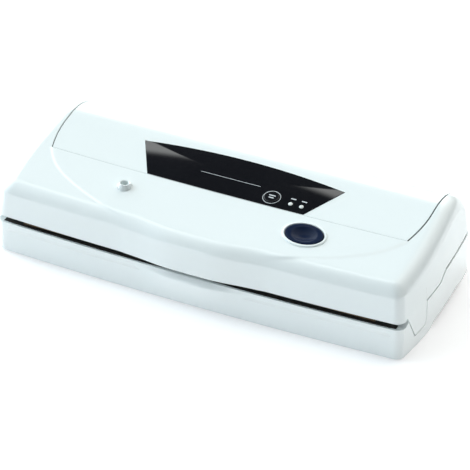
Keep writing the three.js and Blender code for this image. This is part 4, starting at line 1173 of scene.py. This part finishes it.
class SEALER_OT_panel(bpy.types.Operator):
    """Builds the black control panel with its plain printed marks, the seal key and the two lights"""

    bl_idname = "sealer.panel"
    bl_label = "Control panel"

    def execute(self, context):
        sizes = context.scene.sealer_panel
        lift = sizes.label_lift / MM
        points, faces = slab(label_outline(), -PANEL_DEPTH, lift, 0.25)
        black = FINISH["gloss_black"]
        piece("panel_face", "lid", (on_slope(points), faces), black, ["control_panel"])
        width = sizes.print_width / MM
        key_x, key_y, key_r = KEY
        ring = printed_ring((key_x, key_y), sizes.ring_radius / MM, width, lift)
        bars = [printed_bar(x - 2.4, x + 2.4, LIGHTS_Y + 6.2, BAR_WIDTH, lift) for x in LIGHTS_X]
        line = printed_bar(-30, 24, 75.0, 0.4, lift)
        piece("printed_marks", "lid", joined([ring, *bars, line]), FINISH["marks"])
        top = lift + KEY_RISE
        key = [(0, -SUNK), (key_r, -SUNK), (key_r, top), (key_r - 0.15, top + 0.14)]
        key += [(key_r - 0.5, top + 0.24), (key_r - 1.2, top + 0.16), (key_r * 0.5, top + 0.04), (0, top)]
        points, faces = turned(key, (key_x, key_y), 64)
        piece("seal_key_cap", "seal_key", (on_slope(points), faces), black, ["seal_key"])
        key_marks = [
            printed_bar(key_x - half, key_x + half, key_y + behind, BAR_WIDTH, top + 0.06)
            for half, behind in ((2.9, 1.3), (2.3, -1.3))
        ]
        piece("seal_key_marks", "seal_key", joined(key_marks), FINISH["marks"])
        for name, x in zip(("status", "power"), LIGHTS_X):
            dome = [(0, -SUNK), (1.9, -SUNK)]
            dome += [(radius, lift + rise) for radius, rise in LENS_DOME]
            points, faces = turned(dome, (x, LIGHTS_Y), 32)
            node_name = f"indicator_lens_{name}"
            piece(f"lens_{name}", "lid", (on_slope(points), faces), FINISH["lens"], [node_name])
        return {"FINISHED"}


BUTTON_RING = (  # distance outside the button's opening, and height
    (-0.2, -5.5), (-0.2, 0.7), (0.1, 1.05), (0.6, 1.15), (1.3, 1.0), (1.8, 0.6),
    (2.1, 0.1), (2.1, -0.6), (0.9, -0.6), (0.9, -5.5), (-0.2, -5.5),
)
CAP_EDGE = ((0, -4.5), (0, 0.5), (0.25, 1.0), (0.8, 1.3), (1.6, 1.35))  # distance in, and height
BUTTON_GAP = 0.7  # the button is this much smaller than its opening, all round
PORT_PROFILE = (  # distance in from the outer radius, and depth below the port's top
    (1.6, 0.2), (0.9, 1.0), (0.3, 2.4), (0, 3.4), (0, 5.6), (0.5, PORT_WELL),
)


def oval_rings(profile, at, tilt, segments=96):
    """Closed oval rings of (half x, half y, height), their heights leaning with the lid's slope."""
    angle = np.linspace(0, 2 * math.pi, segments, endpoint=False)
    rings = []
    for half_x, half_y, z in profile:
        x = half_x * np.cos(angle)
        y = half_y * np.sin(angle)
        rings.append(np.stack([at[0] + x, at[1] + y, at[2] + z + tilt * y], 1))
    return rings


class SEALER_OT_button(bpy.types.Operator):
    """Builds the dished release button and the white ring round it"""

    bl_idname = "sealer.button"
    bl_label = "Release button"

    def execute(self, context):
        sizes = context.scene.sealer_panel
        x, y, half_x, half_y = BUTTON
        at = (x, y, top_slope(y) + context.scene.sealer_casing.raised / MM)
        rings = oval_rings([(half_x + a, half_y + a, z) for a, z in BUTTON_RING], at, SLOPE)
        points = np.stack(rings)
        shape = points.reshape(-1, 3), grid_faces(len(rings), points.shape[1], close=True)
        piece("button_ring", "lid", shape, FINISH["casing_white"], ["button_bezel"])
        depth = sizes.dimple / MM
        cap_x, cap_y = half_x - BUTTON_GAP, half_y - BUTTON_GAP
        cap = [(cap_x - a, cap_y - a, z) for a, z in CAP_EDGE]
        dish_x, dish_y = cap_x * 0.66, cap_y * 0.72
        cap += [(dish_x + 1.0, dish_y + 1.0, 1.2), (dish_x + 0.3, dish_y + 0.3, 1.05)]
        for t in np.linspace(0.08, 1, 13):
            share = math.cos(t * math.pi / 2)
            cap.append((dish_x * share, dish_y * share, 1.0 - depth * (1 - share**2)))
        stem = [(4, 4, -20), (4, 4, -4.5)]
        rings = oval_rings([*stem, *cap], at, SLOPE)
        piece("button_cap", "release_button", ring_skin(rings), FINISH["navy"], ["release_button"])
        return {"FINISHED"}


class SEALER_OT_port(bpy.types.Operator):
    """Builds the hose port with its bore, chamfer and foot collar"""

    bl_idname = "sealer.port"
    bl_label = "Hose port"

    def execute(self, context):
        x, y, outer, bore = PORT
        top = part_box("hose_port")[1].z / MM
        foot = top - PORT_WELL
        profile = [(bore, foot), (bore, top - 0.6), (bore + 0.5, top - 0.1), (bore + 1.2, top)]
        profile += [(outer - inward, top - down) for inward, down in PORT_PROFILE]
        tube = turned([*profile, (bore, foot)], (x, y), 64)
        piece("hose_port_tube", "lid", tube, FINISH["casing_white"], ["hose_port"])
        return {"FINISHED"}


GASKET_HALF = 2.5  # half of a gasket's width
GASKET_CORNER = 9.5
GASKET_FLANK = ((2.5, 0), (2.5, 0.55), (2.0, 0.9), (0.8, 1))  # half width at a share of the height


class SEALER_OT_seals(bpy.types.Operator):
    """Builds the two chamber gaskets and the pressure bar"""

    bl_idname = "sealer.seals"
    bl_label = "Seals"

    def execute(self, context):
        dark = FINISH["rubber_dark"]
        for name, body, faces_up in (("lower_gasket", "base", True), ("upper_gasket", "lid", False)):
            low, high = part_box(name)
            foot, crown = low.z / MM, high.z / MM
            if not faces_up:
                foot, crown = crown, foot
            front, rear = low.y / MM - FRONT_PLANE, high.y / MM - FRONT_PLANE
            half_x = high.x / MM - GASKET_HALF
            centre = rounded_rectangle(half_x, front + GASKET_HALF, rear - GASKET_HALF, GASKET_CORNER)
            flank = [(a, foot + (crown - foot) * share) for a, share in GASKET_FLANK]
            profile = [(-a, z) for a, z in flank] + flank[::-1]
            piece(f"{name}_ring", body, swept(centre, profile), dark, [name])
        low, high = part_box("pressure_bar")
        y0, y1 = low.y / MM - FRONT_PLANE, high.y / MM - FRONT_PLANE
        z0, z1 = low.z / MM, high.z / MM
        corners = [(y0, z1), (y0, z0 + 1), (y0 + 1.4, z0), (y1 - 1.4, z0), (y1, z0 + 1), (y1, z1)]
        section = rounded_profile(corners, 0.7, 3)
        stations = [low.x / MM, low.x / MM + 0.5, 0, high.x / MM - 0.5, high.x / MM]
        scale = [0.9, 1, 1, 1, 0.9]
        middle = section.mean(0)
        rings = []
        for x, k in zip(stations, scale):
            rings.append(np.column_stack([np.full(len(section), x), middle + (section - middle) * k]))
        bar = ring_skin(rings)
        piece("pressure_bar_strip", "lid", bar, FINISH["silicone"], ["pressure_bar"])
        return {"FINISHED"}


def light(name, at, target, size, power, rgb):
    """A rectangular soft light at a place, turned to its target."""
    data = bpy.data.lights.new(name, "AREA")
    data.shape = "RECTANGLE"
    data.size, data.size_y = size
    data.energy = power
    data.color = rgb
    made = bpy.data.objects.new(name, data)
    made.location = at
    made.rotation_euler = (Vector(target) - Vector(at)).to_track_quat("-Z", "Y").to_euler()
    bpy.context.scene.collection.objects.link(made)


def toward(tree, way, direction, start, end):
    """How near a view direction is to a given one: 0 at the cosine start, 1 at the cosine end."""
    near = node(tree, "ShaderNodeVectorMath", operation="DOT_PRODUCT")
    put(tree, near.inputs[0], way)
    near.inputs[1].default_value = Vector(direction).normalized()
    cosine = {"Value": near.outputs["Value"], "From Min": start, "From Max": end}
    share = node(tree, "ShaderNodeMapRange", cosine, interpolation_type="SMOOTHSTEP")
    return share.outputs[0]


ROOM_PANELS = (  # direction and colour of the wide soft panels round the machine
    ((0, 0.62, 0.78), (2.05, 2.05, 1.98)),
    ((-0.6, 0.6, 0.53), (1.1, 1.15, 1.15)),
    ((-0.8, 0.1, 0.6), (1.7, 1.88, 1.86)),
    ((-0.95, -0.1, 0.24), (0.85, 1.1, 1.4)),
    ((0.8, 0.1, 0.6), (0.27, 0.3, 0.32)),
)
PANEL_SPREAD = (0.6, 0.98)  # cosines from a panel's middle at which it begins and is full
DARK_FLAG = (-0.362, 0.528, 0.77)  # direction of a flag that keeps glare off the control panel
FLAG_SPREAD = (0.93, 0.97)
SOFTBOX_PLACE = Vector((-0.8, -1.75, 0.42))  # from the machine's middle
SOFTBOX_SIZE = (0.3, 0.5)
SOFTBOX_TINT = (0.88, 0.97, 1.0)
CAMERA_TARGET = Vector((0.0373, FRONT_PLANE * MM, 0.078))
FLOOR_HALF = 6.0  # half of the floor's side, in metres


def room(settings):
    """The surroundings: wide soft panels behind and to the sides of the machine, and a dark flag that
    keeps the control panel free of glare."""
    world = bpy.data.worlds.new("soft_room")
    world.use_nodes = True
    tree = world.node_tree
    back = tree.nodes["Background"]
    way = node(tree, "ShaderNodeTexCoord").outputs["Generated"]
    total = (settings.fill,) * 3
    for direction, rgb in ROOM_PANELS:
        lobe = toward(tree, way, direction, *PANEL_SPREAD)
        part = node(tree, "ShaderNodeVectorMath", {"Scale": lobe}, operation="SCALE")
        part.inputs[0].default_value = rgb
        both = node(tree, "ShaderNodeVectorMath", operation="ADD")
        put(tree, both.inputs[0], total)
        put(tree, both.inputs[1], part.outputs[0])
        total = both.outputs[0]
    put(tree, back.inputs["Color"], total)
    unflagged = maths(tree, "SUBTRACT", 1.0, toward(tree, way, DARK_FLAG, *FLAG_SPREAD))
    put(tree, back.inputs["Strength"], maths(tree, "MULTIPLY", unflagged, settings.surroundings))
    return world


class SEALER_OT_studio(bpy.types.Operator):
    """Builds the pale floor, the soft lights, the surroundings and the camera"""

    bl_idname = "sealer.studio"
    bl_label = "Studio"

    def execute(self, context):
        settings = context.scene.sealer_studio
        scene = context.scene
        line = np.linspace(-FLOOR_HALF, FLOOR_HALF, 25)
        x, y = np.meshgrid(line, line)
        points = np.stack([x, y, 0 * x], -1).reshape(-1, 3)
        mesh = bpy.data.meshes.new("floor")
        mesh.from_pydata(points.tolist(), [], grid_faces(len(line), len(line)).tolist())
        mesh.materials.append(floor_finish(settings.glow))
        ground = bpy.data.objects.new("floor", mesh)
        scene.collection.objects.link(ground)
        scene.world = room(settings)
        middle = (CAD_LOW + CAD_HIGH) / 2
        place = middle + SOFTBOX_PLACE
        light("front_left_softbox", place, middle, SOFTBOX_SIZE, settings.front, SOFTBOX_TINT)
        a, e = settings.azimuth, settings.elevation
        outward = Vector((math.sin(a) * math.cos(e), -math.cos(a) * math.cos(e), math.sin(e)))
        data = bpy.data.cameras.new("camera")
        data.lens = settings.lens
        data.sensor_width = 36
        data.clip_end = 50
        camera = bpy.data.objects.new("camera", data)
        camera.location = CAMERA_TARGET + outward * settings.distance
        camera.rotation_euler = (-outward).to_track_quat("-Z", "Y").to_euler()
        scene.collection.objects.link(camera)
        scene.camera = camera
        scene.view_settings.view_transform = "Standard"
        return {"FINISHED"}


class SEALER_PT_panel(bpy.types.Panel):
    """Lists the sizes, colours and building steps in the sidebar"""

    bl_idname = "SEALER_PT_panel"
    bl_label = "Vacuum sealer"
    bl_space_type = "VIEW_3D"
    bl_region_type = "UI"
    bl_category = "Sealer"

    def draw(self, context):
        for key in GROUPS:
            box = self.layout.box()
            settings = getattr(context.scene, key)
            for name in settings.__annotations__:
                box.prop(settings, name)
        for step in STEPS:
            self.layout.operator(step.bl_idname)


GROUPS = {
    "sealer_casing": CasingSizes,
    "sealer_panel": PanelSizes,
    "sealer_colours": FinishColours,
    "sealer_studio": StudioSettings,
}
STEPS = (
    SEALER_OT_finishes,
    SEALER_OT_lid,
    SEALER_OT_base,
    SEALER_OT_panel,
    SEALER_OT_button,
    SEALER_OT_port,
    SEALER_OT_seals,
    SEALER_OT_studio,
)


def register():
    """Registers the property groups, operators and panel."""
    for made in (*GROUPS.values(), *STEPS, SEALER_PT_panel):
        bpy.utils.register_class(made)
    for key, made in GROUPS.items():
        setattr(bpy.types.Scene, key, bpy.props.PointerProperty(type=made))


def unregister():
    """Removes what register added."""
    for key in GROUPS:
        delattr(bpy.types.Scene, key)
    for made in (SEALER_PT_panel, *reversed(STEPS), *GROUPS.values()):
        bpy.utils.unregister_class(made)


def main():
    """Runs every building step in order."""
    register()
    for step in STEPS:
        area, name = step.bl_idname.split(".")
        getattr(getattr(bpy.ops, area), name)()


if __name__ == "__main__":
    main()
